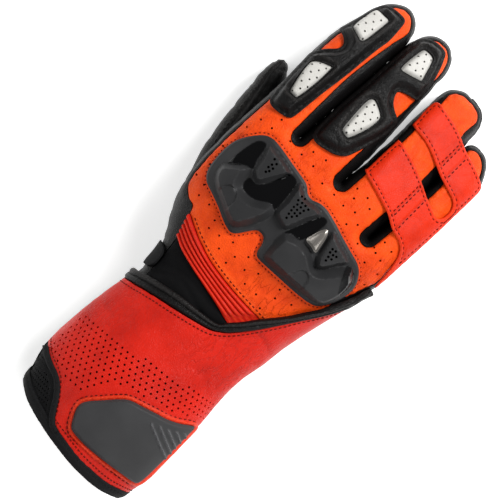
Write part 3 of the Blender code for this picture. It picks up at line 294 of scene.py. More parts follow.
# On the palm side, from the right edge round to the left one:
# share of the way round, v of the upper edge, v of the mouth
CUFF_PALM_EDGES = (
    (0.00, 57, -266),
    (0.06, 42, -268),
    (0.12, 18, -270),
    (0.20, -20, -272),
    (0.30, -62, -274),
    (0.40, -90, -275),
    (0.55, -99, -275),
    (0.75, -99, -268),
    (1.00, -95, -247),
)
WELT_PALM_DEPTH = 10.0
# Where columns of the cuff's grid stand, as shares of the way in from its edge
CUFF_COLUMNS = (0.0, 0.018, 0.07, 0.16, 0.28, 0.44, 0.64, 0.84, 1.0)

# The wrist strap from the back round the left side and across the palm: u of its
# end, v of its two edges
WRIST_STRAP = (12.0, -84.0, -56.0)
# The thumb from its root inside the palm to near its tip:
# u, v, height of its middle, half width (units), half height
THUMB_SECTIONS = (
    (-61.0, -30, 0.400, 13.0, 0.155),
    (-70.5, -8, 0.340, 15.5, 0.175),
    (-79.0, 14, 0.262, 18.2, 0.200),
    (-89.0, 50, 0.218, 19.5, 0.214),
    (-94.8, 85, 0.212, 18.8, 0.210),
    (-100.0, 114, 0.206, 16.8, 0.204),
    (-104.6, 134, 0.200, 14.2, 0.196),
    (-107.6, 147, 0.186, 10.8, 0.166),
    (-109.0, 155, 0.172, 6.8, 0.112),
)
THUMB_TIP = (-109.8, 159.5, 0.164)
THUMB_POWER = 2.3
# Round the thumb: columns of its grid, its mean radius and the turns of its two seams
THUMB_COLUMNS = 84
THUMB_RADIUS = 0.008
THUMB_SEAMS = (math.pi * 0.62, math.pi * 1.5)

INDEX_PAD = (
    (-77.4, 266.4), (-71, 270.6), (-58, 272), (-52.4, 270), (-50.5, 263), (-49.4, 245), (-51.6, 227),
    (-54.8, 190), (-58.8, 158), (-62, 126), (-65, 119.5), (-72, 116.8), (-83, 115.6), (-89, 118.4),
    (-91.4, 128), (-93.2, 150), (-93.8, 170), (-93.6, 182), (-86.5, 194), (-80.4, 201), (-78, 206.4),
    (-79.6, 211.5), (-85, 216), (-90.8, 218.8), (-88, 230), (-84.2, 246), (-80.6, 259),
)
INDEX_WINDOW_FAR = (
    (-79.6, 259), (-70, 260.5), (-62.8, 260), (-61.6, 255), (-64.4, 229), (-68, 222.5), (-72.4, 222.6),
    (-83, 227), (-84.6, 232), (-83.2, 245),
)
INDEX_WINDOW_NEAR = (
    (-70, 186.4), (-68, 183), (-68.4, 162), (-71.6, 140), (-75, 137), (-81, 136.8), (-84, 140),
    (-87.4, 156), (-89.0, 171), (-87.4, 177), (-81, 182.4),
)
MIDDLE_PAD = (
    (-29.4, 262), (-26.4, 270), (-20, 275.4), (-10.8, 277.8), (-2, 276.6), (1.8, 270.4), (5.4, 261),
    (8.4, 249.4), (10.2, 238), (11.6, 226), (10.2, 222), (0.4, 219), (-7, 215), (-6.6, 209.5),
    (-3, 203.5),
    (3, 198.5), (12, 193.5), (14, 188), (13.4, 178), (10.8, 164), (4.6, 141), (0.4, 131.5),
    (-7.6, 125.6), (-20.4, 121.8), (-28.4, 120.8), (-34, 123.4), (-36.6, 134), (-36.2, 168),
    (-33.8, 200), (-31.8, 236),
)
MIDDLE_WINDOW_FAR = (
    (-18.8, 263.6), (-14, 265.6), (-7.6, 265.2), (-3.6, 262), (0.4, 248), (2, 239.5), (-1, 235.6),
    (-18, 230), (-21.8, 232.4), (-22.2, 242), (-20.8, 256),
)
MIDDLE_WINDOW_NEAR = (
    (-21, 191.6), (-17.2, 193.1), (-9.2, 190.4), (-1.4, 185.6), (0.4, 181), (-0.2, 171), (-3.6, 158.4),
    (-8.4, 146.6), (-12.4, 144.3), (-18.8, 145.8), (-21.2, 149), (-22.6, 163), (-23.2, 184),
)
FINGER_STRAP = (
    (28.4, 234), (42, 234.4), (58, 231.2), (71, 226.4), (82, 221.6), (98, 216.8), (112, 211.2),
    (118.4, 206), (119.0, 190), (118.4, 168), (117.6, 144), (116.6, 120), (115.2, 96), (114.2, 76),
    (112.6, 62), (111.6, 78), (109.2, 94), (104.4, 105), (96.4, 110.6), (83.6, 114.4), (71, 121.4),
    (58, 125.6), (42, 130.4), (27.4, 135.4), (27.2, 142), (28.4, 176), (29.8, 181), (43.6, 177.6),
    (56.4, 173.6), (72.4, 167.4), (82, 162.6), (99.6, 155.2), (106.6, 152.6), (111.4, 156),
    (113.4, 163), (112.4, 171), (107.4, 177.4), (98, 180.8), (82, 185.6), (71, 190.4), (58, 196),
    (43.6, 200), (29.6, 201.6), (28.2, 206),
)
KNUCKLE_GUARD = (
    (-86.6, 60), (-82.6, 73), (-72, 88), (-62, 93.4), (-49, 92.8), (-30, 89.6), (-11, 86.4),
    (-4.4, 84), (1.4, 79.4), (8.4, 78.4), (17, 81.4), (27, 81.4), (41, 78), (56, 73.4), (72, 68.8),
    (83, 66), (91, 60.8), (97, 51), (98.2, 40), (95, 25), (87, 10.6), (79, 5.2), (62, 2.2),
    (40, 1), (18, 0), (9.6, 0.6), (6, 5), (4.4, 12), (1.4, 17.4), (-3.4, 19.6), (-9.4, 18.4),
    (-14.4, 12), (-21, 2.6), (-27, -0.8), (-38, 2), (-51, 8), (-66, 13.6), (-78, 18.6),
    (-84.6, 28), (-87, 44),
)
SLIDER = (
    (38.8, 69.6), (43.4, 64), (45.6, 56), (47.4, 43.6), (39, 44.4), (30.4, 46), (31.2, 54), (34, 64),
)
CUFF_ARMOUR = (
    (84.4, -164), (79.4, -166), (70.8, -171.6), (59.6, -176.6), (48, -180), (34, -184.4),
    (21.2, -188.6), (13.2, -195), (2, -207.6), (-7.6, -219), (-10.6, -227), (-8, -236), (-1.6, -247),
    (4, -250.2), (20, -251), (40, -249.6), (62, -247), (80, -244.6), (83.6, -241.6), (85.0, -232),
    (85.2, -212), (85.0, -190), (84.8, -170),
)


def metres(points):
    """Plan points from pattern units to metres."""
    return (np.asarray(points, float) - PATTERN_CENTRE) * UNIT


def units_across(value):
    """A width of so many pattern units, in metres."""
    return value * ACROSS


def smoothstep(t):
    t = np.clip(t, 0.0, 1.0)
    return t * t * (3.0 - 2.0 * t)


def bell(distance, width, middle=0.0):
    """1 at one distance, the middle, fading to 0 on both sides of it."""
    return np.exp(-(((distance - middle) / width) ** 2))


def catmull(points, per_span, closed=False):
    """A smooth curve through the rows of points, with per_span samples to a span."""
    rows = np.asarray(points, float)
    if closed:
        ends = np.vstack([rows[-1:], rows, rows[:2]])
    else:
        ends = np.vstack([2 * rows[0] - rows[1], rows, 2 * rows[-1] - rows[-2]])
    t = np.linspace(0.0, 1.0, per_span, endpoint=False)[:, None]
    spans = []
    for a, b, c, d in zip(ends, ends[1:], ends[2:], ends[3:]):
        spans.append(
            0.5 * (2 * b + (c - a) * t + (2 * a - 5 * b + 4 * c - d) * t**2 + (3 * b - a - 3 * c + d) * t**3)
        )
    if not closed:
        spans.append(rows[-1:])
    return np.vstack(spans)


def lengths_along(path):
    """The distance from a path's start to each of its points, in plan."""
    steps = np.linalg.norm(np.diff(path[:, :2], axis=0), axis=1)
    return np.concatenate([[0.0], np.cumsum(steps)])


def at_lengths(path, wanted):
    """Each column of a path, read at the wanted distances from its start."""
    along = lengths_along(path)
    return np.column_stack([np.interp(wanted, along, column) for column in path.T])


def thinned(path, longest, turn):
    """Indices of the fewest points that keep to the longest step and the largest turn."""
    kept = [0]
    tangent = np.arctan2(np.gradient(path[:, 1]), np.gradient(path[:, 0]))
    tangent = np.unwrap(tangent)
    along = lengths_along(path)
    for i in range(1, len(path) - 1):
        last = kept[-1]
        if along[i + 1] - along[last] > longest or abs(tangent[i + 1] - tangent[last]) > turn:
            kept.append(i)
    return kept + [len(path) - 1]


def nearest_on(path, points):
    """The distance from each point to a path, and the unit way from the path to it."""
    a, b = path[:-1], path[1:]
    span = b - a
    size = np.maximum((span**2).sum(1), 1e-18)
    distance = np.empty(len(points))
    away = np.empty((len(points), 2))
    for start in range(0, len(points), 512):
        some = points[start : start + 512]
        offset = some[:, None, :] - a[None]
        t = np.clip((offset * span[None]).sum(2) / size, 0.0, 1.0)
        gap = offset - t[..., None] * span[None]
        square = (gap**2).sum(2)
        best = square.argmin(1)
        rows = np.arange(len(some))
        distance[start : start + 512] = np.sqrt(square[rows, best])
        away[start : start + 512] = gap[rows, best]
    return distance, away / np.maximum(distance, 1e-9)[:, None]


def is_inside(polygon, points):
    """Which points lie inside a closed plan outline."""
    x, y = points[:, 0][:, None], points[:, 1][:, None]
    a, b = polygon, np.roll(polygon, -1, axis=0)
    crosses = (a[None, :, 1] > y) != (b[None, :, 1] > y)
    rise = b[:, 1] - a[:, 1]
    rise = np.where(np.abs(rise) < 1e-12, 1e-12, rise)
    hit = a[None, :, 0] + (y - a[None, :, 1]) * ((b - a)[None, :, 0] / rise[None])
    return (crosses & (x < hit)).sum(1) % 2 == 1


class Heights:
    """A smooth height through rows of (u, v, share), as a thin plate bends."""

    def __init__(self, rows):
        rows = np.asarray(rows, float)
        self.centres = rows[:, :2]
        count = len(rows)
        system = np.zeros((count + 3, count + 3))
        system[:count, :count] = self.plate(rows[:, :2])
        system[:count, count] = 1.0
        system[:count, count + 1 :] = rows[:, :2] / PATTERN_WIDTH
        system[count:, :count] = system[:count, count:].T
        self.weights = np.linalg.solve(system, np.concatenate([rows[:, 2], np.zeros(3)]))

    def plate(self, points):
        square = ((points[:, None] - self.centres[None]) ** 2).sum(2) / PATTERN_WIDTH**2
        return square * np.log(square + 1e-12)

    def __call__(self, plan):
        """Heights in metres above plan points that are in metres."""
        points = plan / UNIT + PATTERN_CENTRE
        count = len(self.centres)
        share = self.plate(points) @ self.weights[:count] + self.weights[count]
        share = share + (points / PATTERN_WIDTH) @ self.weights[count + 1 :]
        return share * KNUCKLE_HEIGHT


class Skin:
    """The outer surface of a stuffed limb above and below its plan outline."""

    def __init__(self, edge, back, palm, clearance=0.0):
        self.edge = edge
        self.back = back
        self.palm = palm
        self.clearance = clearance

    def reach(self, plan, side):
        rows = np.asarray(ROUNDING, float)[::-1]
        v = plan[:, 1] / ALONG + PATTERN_CENTRE[1]
        reach = units_across(np.interp(v, rows[:, 0], rows[:, 1]))
        return reach if side == TOP else reach * UNDER_ROUNDING_SHARE

    def levels(self, plan):
        """The middle, back and palm heights of the limb."""
        back = self.back(plan) + self.clearance
        palm = np.maximum(self.palm(plan) - self.clearance, 0.0)
        return (back + palm) / 2, back, palm

    def height(self, plan, depth, side):
        middle, back, palm = self.levels(plan)
        share = 1.0 - np.clip(depth / self.reach(plan, side), 0.0, 1.0)
        full = (1.0 - share**SIDE_POWER) ** (1.0 / SIDE_POWER)
        return middle + ((back if side == TOP else palm) - middle) * full

    def lifted(self, plan, side, depth=None, inward=None):
        """Points on the surface over plan points, and the surface's outward normals."""
        if depth is None:
            depth, inward = nearest_on(self.edge, plan)
        step = 1e-5
        z = self.height(plan, depth, side)
        slope = np.column_stack(
            [
                (self.height(plan + way, depth, side) - self.height(plan - way, depth, side)) / (2 * step)
                for way in (np.array([step, 0.0]), np.array([0.0, step]))
            ]
        )
        inner = np.maximum(depth, 2e-6)
        rise = (self.height(plan, inner + 1e-6, side) - self.height(plan, inner - 1e-6, side)) / 2e-6
        normal = np.column_stack([-(slope + rise[:, None] * inward), np.ones(len(plan))]) * side
        normal /= np.linalg.norm(normal, axis=1)[:, None]
        return np.column_stack([plan, z]), normal


def finger_outline(name):
    """One finger's plan, up its left edge, over the tip and down its right edge:
    u, v, seam inset."""
    rows = np.asarray(FINGER_SECTIONS[name], float)
    tip_v, lean, squareness = FINGER_TIPS[name]
    left = catmull(rows[:, [1, 0, 4]], 12)
    right = catmull(rows[::-1][:, [3, 2, 5]], 12)
    v0, u_left, _, u_right, inset_left, inset_right = rows[-1]
    middle, half = (u_left + u_right) / 2, (u_right - u_left) / 2
    turn = np.linspace(math.pi, 0.0, 49)[1:-1]
    across = np.sign(np.cos(turn)) * np.abs(np.cos(turn)) ** (2 / squareness)
    rise = np.sin(turn) ** (2 / squareness)
    blend = smoothstep(rise * 1.4)
    inset = np.where(turn > math.pi / 2, inset_left, inset_right) * (1 - blend) + TIP_INSET * blend
    tip = np.column_stack([middle + lean * rise + half * across, v0 + (tip_v - v0) * rise, inset])
    return left, tip, right


def crotch_arc(end, start):
    """The rounded foot of the slot between two fingers, from one root to the next."""
    middle = (end[:2] + start[:2]) / 2
    half = (start[0] - end[0]) / 2
    turn = np.linspace(math.pi, 2 * math.pi, 13)[1:-1]
    return np.column_stack(
        [middle[0] + half * np.cos(turn), middle[1] + half * np.sin(turn), np.full(len(turn), CROTCH_INSET)]
    )


def hand_outline():
    """The whole hand's plan from the wrist's left side to its right side, as
    (x, y, seam inset) in metres, and where its belts of leather start and end."""
    fingers = [finger_outline(name) for name in FINGER_SECTIONS]
    left_side = catmull(np.asarray(HAND_LEFT, float)[:, [1, 0, 2]], 10)
    right_side = catmull(np.asarray(HAND_RIGHT, float)[:, [1, 0, 2]], 10)
    runs, breaks, count = [left_side], [], len(left_side)
    for i, (left, tip, right) in enumerate(fingers):
        if i:
            arc = crotch_arc(runs[-1][-1], left[0])
            runs.append(arc)
            count += len(arc)
        breaks.append(count + len(left) + len(tip) // 2)
        runs += [left, tip, right]
        count += len(left) + len(tip) + len(right)
    runs.append(right_side)
    path = np.vstack(runs)
    path = np.column_stack([metres(path[:, :2]), units_across(path[:, 2])])
    return path, [0] + breaks + [len(path) - 1]


def grid_faces(rows, columns, closed=False):
    """Quads of a grid whose points are stored row by row. Closed grids join the last
    column to the first."""
    faces = []
    for i in range(rows - 1):
        for j in range(columns if closed else columns - 1):
            k = (j + 1) % columns
            faces.append((i * columns + j, (i + 1) * columns + j, (i + 1) * columns + k, i * columns + k))
    return faces


def over_line(points, line, margin=0.0):
    """How far points lie above a line v(u), in plan."""
    return points[:, 1] - np.interp(points[:, 0], line[:, 0], line[:, 1]) - margin


def met_at(start, end, line, margin=0.0):
    """The point where a straight step crosses a line v(u)."""
    steps = start + (end - start) * np.linspace(0.0, 1.0, 400)[:, None]
    return steps[np.abs(over_line(steps, line, margin)).argmin()]


def above(path, line, margin):
    """The part of a path that lies above a line v(u), or below it for a negative margin,
    with its ends brought to the line."""
    over = over_line(path, line, margin) * np.sign(margin)
    kept = []
    for i in range(len(path)):
        if i and (over[i] > 0) != (over[i - 1] > 0):
            kept.append(met_at(path[i - 1], path[i], line, margin))
        if over[i] > 0:
            kept.append(path[i])
    return np.array(kept)


def line_between(line, start, end, longest):
    """The stretch of a line v(u) between two points, without its ends."""
    dense = at_lengths(line, np.linspace(0, lengths_along(line)[-1], 200))
    low, high = sorted((start[0], end[0]))
    dense = dense[(dense[:, 0] > low) & (dense[:, 0] < high)]
    count = max(2, int(lengths_along(dense)[-1] / longest))
    spread = at_lengths(dense, np.linspace(0, lengths_along(dense)[-1], count + 1))
    return spread[1:-1] if start[0] < end[0] else spread[1:-1][::-1]


def crossing(path, line):
    """Where a side seam crosses a line v(u), as x."""
    i = int(np.flatnonzero(np.diff(np.sign(over_line(path, line))) != 0)[0])
    return met_at(path[i], path[i + 1], line)[0]


def smooth_noise(points, size, seed):
    """A smooth random height between -1 and 1, with bumps about size metres across."""
    lattice = np.random.default_rng(seed).uniform(-1.0, 1.0, (97, 97))
    place = points[:, :2] / size + 31.7
    cell = np.floor(place).astype(int)
    s, t = smoothstep(place - cell).T

    def corner(right, up):
        return lattice[(cell[:, 0] + right) % 97, (cell[:, 1] + up) % 97]

    low = corner(0, 0) * (1 - s) + corner(1, 0) * s
    high = corner(0, 1) * (1 - s) + corner(1, 1) * s
    return low * (1 - t) + high * t


def creases(points, along, across, angle, seed):
    """Folds from 0 to 1 that run at an angle, each along metres long and across wide."""
    turn = math.radians(angle)
    c, s = math.cos(turn), math.sin(turn)
    run = np.column_stack([points[:, 0] * c + points[:, 1] * s, points[:, 1] * c - points[:, 0] * s])
    run[:, 1] += 0.6 * across * smooth_noise(points, along * 0.7, seed + 1)
    stretched = run / (along, across)
    return (1.0 - np.abs(smooth_noise(stretched, 1.0, seed))) ** 4


def patch(plan, u, v, wide, long):
    """1 at a place in the pattern, fading to 0 over an ellipse round it."""
    points = plan / UNIT + PATTERN_CENTRE
    return smoothstep(1.0 - np.hypot((points[:, 0] - u) / wide, (points[:, 1] - v) / long))


def loop(outline):
    """An outline with its first point again at its end."""
    return np.vstack([outline, outline[:1]])


def distance_to(outlines, plan):
    """How far plan points are from the nearest of some closed outlines."""
    return np.min([nearest_on(loop(outline), plan)[0] for outline in outlines], axis=0)


def depth_inside(outline, plan):
    """How deep plan points lie inside a closed outline, below 0 for those outside it."""
    return np.where(is_inside(outline, plan), 1, -1) * nearest_on(loop(outline), plan)[0]


def even_path(path, pitch):
    """A path with samples that are one pitch apart."""
    length = lengths_along(path)[-1]
    return at_lengths(path, np.linspace(0.0, length, max(3, int(length / pitch) + 1)))


def even_outline(points, pitch):
    """A smooth closed outline in metres, from corner points in pattern units."""
    return even_path(loop(metres(catmull(points, 10, closed=True))), pitch)[:-1]


def drawn_in(outline, by):
    """An outline moved inward all round, or outward for a negative distance."""
    after, before = np.roll(outline, -1, axis=0), np.roll(outline, 1, axis=0)
    way = after - before
    way /= np.maximum(np.linalg.norm(way, axis=1), 1e-9)[:, None]
    left = np.column_stack([-way[:, 1], way[:, 0]])
    area = (outline[:, 0] * after[:, 1] - after[:, 0] * outline[:, 1]).sum()
    moved = outline + left * math.copysign(1.0, area) * by
    return moved[nearest_on(loop(outline), moved)[0] > 0.96 * abs(by)]


def inset_by(outline, by):
    """An outline drawn in, with even samples."""
    return even_path(loop(drawn_in(outline, by)), PLATE_PITCH)[:-1]


def ring_points(centres, radius, count):
    """Points evenly round each centre."""
    turn = np.linspace(0.0, 2 * math.pi, count, endpoint=False)
    circle = np.column_stack([np.cos(turn), np.sin(turn)]) * radius
    return (centres[:, None] + circle[None]).reshape(-1, 2)


def cut_out(outline, pitch, holes=(), pricks=(), prick_radius=PERFORATION_RADIUS):
    """Triangles that fill an outline in plan at an even pitch, with rings along its rim
    and round every prick."""
    loops = [outline, *holes]
    low, high = outline.min(0), outline.max(0)
    x = np.arange(low[0], high[0], pitch)
    y = np.arange(low[1], high[1], pitch * TRIANGLE_ROW)
    grid = np.stack(np.meshgrid(x, y), -1)
    grid[1::2, :, 0] += pitch / 2
    grid = grid.reshape(-1, 2)
    grid = grid + 0.12 * pitch * np.random.default_rng(3).uniform(-1, 1, grid.shape)
    ribbons = [drawn_in(each, by if i == 0 else -by) for i, each in enumerate(loops) for by in RIM_RINGS]
    extra = np.vstack(ribbons)
    rims = []
    if len(pricks):
        rims = [ring_points(pricks, prick_radius, 9), ring_points(pricks, prick_radius * 0.72, 9), pricks]

    def kept(points, gap):
        keep = is_inside(outline, points) & (distance_to(loops, points) > gap)
        for hole in holes:
            keep &= ~is_inside(hole, points)
        return points[keep]

    extra = kept(extra, RIM_RINGS[0] * 0.9)
    grid = kept(grid, RIM_RINGS[-1] + 0.3 * pitch)
    if len(pricks):
        near = ((grid[:, None] - pricks[None]) ** 2).sum(2).min(1)
        grid = grid[near > (prick_radius * 1.5) ** 2]
        near = ((extra[:, None] - pricks[None]) ** 2).sum(2).min(1)
        extra = extra[near > (prick_radius * 1.3) ** 2]
    points = np.vstack([*loops, *rims, extra, grid])
    edges, start = [], 0
    for each in loops:
        edges += [(start + i, start + (i + 1) % len(each)) for i in range(len(each))]
        start += len(each)
    scale = 1.0 / pitch
    found = delaunay_2d_cdt([tuple(p * scale) for p in points], edges, [], 0, 1e-4, False)
    plan = np.array([tuple(p) for p in found[0]]) / scale
    faces = np.array(found[2], int)
    middles = plan[faces].mean(1)
    keep = is_inside(outline, middles)
    for hole in holes:
        keep &= ~is_inside(hole, middles)
    faces = faces[keep]
    used = np.unique(faces)
    number = np.full(len(plan), -1)
    number[used] = np.arange(len(used))
    plan, faces = plan[used], number[faces]
    a, b, c = plan[faces[:, 0]], plan[faces[:, 1]], plan[faces[:, 2]]
    turn = (b[:, 0] - a[:, 0]) * (c[:, 1] - a[:, 1]) - (b[:, 1] - a[:, 1]) * (c[:, 0] - a[:, 0])
    faces[turn < 0] = faces[turn < 0][:, ::-1]
    return plan, faces[np.abs(turn) > 1e-13]


def add_piece(name, vertices, faces, finish, stands_for, levels=None, sharp=50):
    """One closed piece of the glove. levels holds named shares for its material."""
    mesh = bpy.data.meshes.new("dressed_" + name)
    mesh.from_pydata(np.asarray(vertices).tolist(), [], [list(map(int, face)) for face in faces])
    for key, values in (levels or {}).items():
        mesh.attributes.new(key, "FLOAT", "POINT").data.foreach_set("value", np.asarray(values, np.float32))
    mesh.shade_smooth()
    mesh.set_sharp_from_angle(angle=math.radians(sharp))
    mesh.materials.append(finish)
    piece = bpy.data.objects.new("dressed_" + name, mesh)
    bpy.context.scene.collection.objects.link(piece)
    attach(piece, "root")
    if stands_for:
        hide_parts(*stands_for)
    return piece


def sewn(name, points, normals, faces, outer, inner, finish, levels=None, sharp=50):
    """A leather or plastic wall between two offsets from the skin, in its solid's place."""
    count = len(points)
    outer = np.broadcast_to(outer, count)[:, None]
    inner = np.broadcast_to(inner, count)[:, None]
    vertices = np.vstack([points + normals * outer, points + normals * inner])
    edges = set()
    for face in faces:
        for a, b in zip(face, np.roll(face, -1)):
            edges.add((int(a), int(b)))
    rim = [(a, a + count, b + count, b) for a, b in edges if (b, a) not in edges]
    inside = [[int(i) + count for i in reversed(face)] for face in faces]
    doubled = {key: np.tile(values, 2) for key, values in (levels or {}).items()}
    return add_piece(name, vertices, [*faces, *inside, *rim], finish, [name], doubled, sharp)


def pricked(plan, pricks, depth, radius=PERFORATION_RADIUS):
    """How far each point is pressed in by the perforations, and its share of the painted shade in the hole.
    """
    if not len(pricks):
        return np.zeros(len(plan)), np.zeros(len(plan))
    near = np.full(len(plan), np.inf)
    for start in range(0, len(pricks), 64):
        some = pricks[start : start + 64]
        near = np.minimum(near, ((plan[:, None] - some[None]) ** 2).sum(2).min(1))
    sunk = smoothstep((radius * 0.97 - np.sqrt(near)) / (radius * 0.22))
    return depth * sunk, sunk


def rolled_edge(distance, depth=0.0005, reach=0.0014):
    """How far leather turns down towards its seam."""
    return depth * (1.0 - np.clip(distance / reach, 0.0, 1.0)) ** 2


def puckers(plan, distance, pitch, height, reach, seed):
    """The small gathers that stitches pull into leather beside a seam."""
    wave = np.sin(2 * math.pi * (plan[:, 0] + plan[:, 1]) / pitch + 3.0 * smooth_noise(plan, 0.012, seed))
    return height * wave * bell(distance, reach)


# A stitch's rings: share of the way along it, lift in thread radii, thickness
STITCH_RINGS = ((0.0, -0.7, 0.75), (0.2, 0.35, 1.0), (0.5, 0.6, 1.0), (0.8, 0.35, 1.0), (1.0, -0.7, 0.75))
STITCH_SIDES = 5


class Thread:
    """Stitches of one thread, gathered into one piece."""

    def __init__(self, name, finish):
        self.name, self.finish = name, finish
        self.vertices, self.faces = [], []

    def stitch(self, start, end, up, radius=THREAD_RADIUS):
        way = end - start
        side = np.cross(way, up)
        side /= max(np.linalg.norm(side), 1e-9)
        first = len(self.vertices) * STITCH_SIDES
        for share, lift, thick in STITCH_RINGS:
            middle = start + way * share + up * radius * lift
            ring = []
            for k in range(STITCH_SIDES):
                turn = 2 * math.pi * k / STITCH_SIDES
                ring.append(middle + radius * thick * (side * math.cos(turn) + up * math.sin(turn)))
            self.vertices.append(ring)
        last = first + (len(STITCH_RINGS) - 1) * STITCH_SIDES
        for ring_start in range(first, last, STITCH_SIDES):
            for k in range(STITCH_SIDES):
                a, b = ring_start + k, ring_start + (k + 1) % STITCH_SIDES
                self.faces.append((a, a + STITCH_SIDES, b + STITCH_SIDES, b))
        self.faces.append(tuple(first + k for k in range(STITCH_SIDES)))
        self.faces.append(tuple(last + k for k in reversed(range(STITCH_SIDES))))

    def row(self, plan, skin, side, height, pitch=STITCH_PITCH, length=STITCH_LENGTH, radius=THREAD_RADIUS):
        """A line of stitches along a plan path, laid on a surface at a height above the skin."""
        total = lengths_along(plan)[-1]
        count = int(total / pitch)
        if count < 1:
            return
        starts = (np.arange(count) + 0.5) * total / count - length / 2
        ends = []
        for at in (starts, starts + length):
            spots = at_lengths(plan, at)
            points, normals = skin.lifted(spots, side)
            rise = height(spots) if callable(height) else height
            ends.append(points + normals * np.broadcast_to(rise, len(spots))[:, None])
        for a, b, up in zip(ends[0], ends[1], normals):
            if np.linalg.norm(b - a) < 2.2 * length:
                self.stitch(a, b, up, radius)

    def made(self):
        if not self.vertices:
            return None
        rings = np.array(self.vertices).reshape(-1, 3)
        return add_piece(self.name, rings, self.faces, self.finish, (), None, 80)


# Materials
def linear(colour):
    """An sRGB hex value as linear light."""
    parts = [int(colour[i : i + 2], 16) / 255 for i in (1, 3, 5)]
    return tuple(p / 12.92 if p <= 0.04045 else ((p + 0.055) / 1.055) ** 2.4 for p in parts) + (1.0,)


def new_finish(name, base, roughness, specular, ior, metallic=0.0):
    """A material and its shader, with the values that are the same all over it."""
    made = bpy.data.materials.new(name)
    made.use_nodes = True
    shader = made.node_tree.nodes["Principled BSDF"]
    shader.inputs["Base Color"].default_value = linear(base)
    shader.inputs["Roughness"].default_value = roughness
    shader.inputs["Specular IOR Level"].default_value = specular
    shader.inputs["IOR"].default_value = ior
    shader.inputs["Metallic"].default_value = metallic
    return made, shader


def fill(made, target, links):
    """Gives a node's inputs, by name or number, a value or another node's output."""
    for key, value in links.items():
        if isinstance(value, bpy.types.NodeSocket):
            made.node_tree.links.new(value, target.inputs[key])
        else:
            target.inputs[key].default_value = value


def node(made, kind, links, settings=None, out=0):
    """Adds a node with its settings and links, and gives one of its outputs."""
    added = made.node_tree.nodes.new("ShaderNode" + kind)
    for key, value in (settings or {}).items():
        setattr(added, key, value)
    fill(made, added, links)
    return added.outputs[out]


COLOUR_MIX = {"data_type": "RGBA"}
TIMES = {"operation": "MULTIPLY"}
TIMES_AND_PLUS = {"operation": "MULTIPLY_ADD"}
# How far apart the bands of a wave texture are at a scale of 1, in metres
WAVE_PERIOD = 0.314


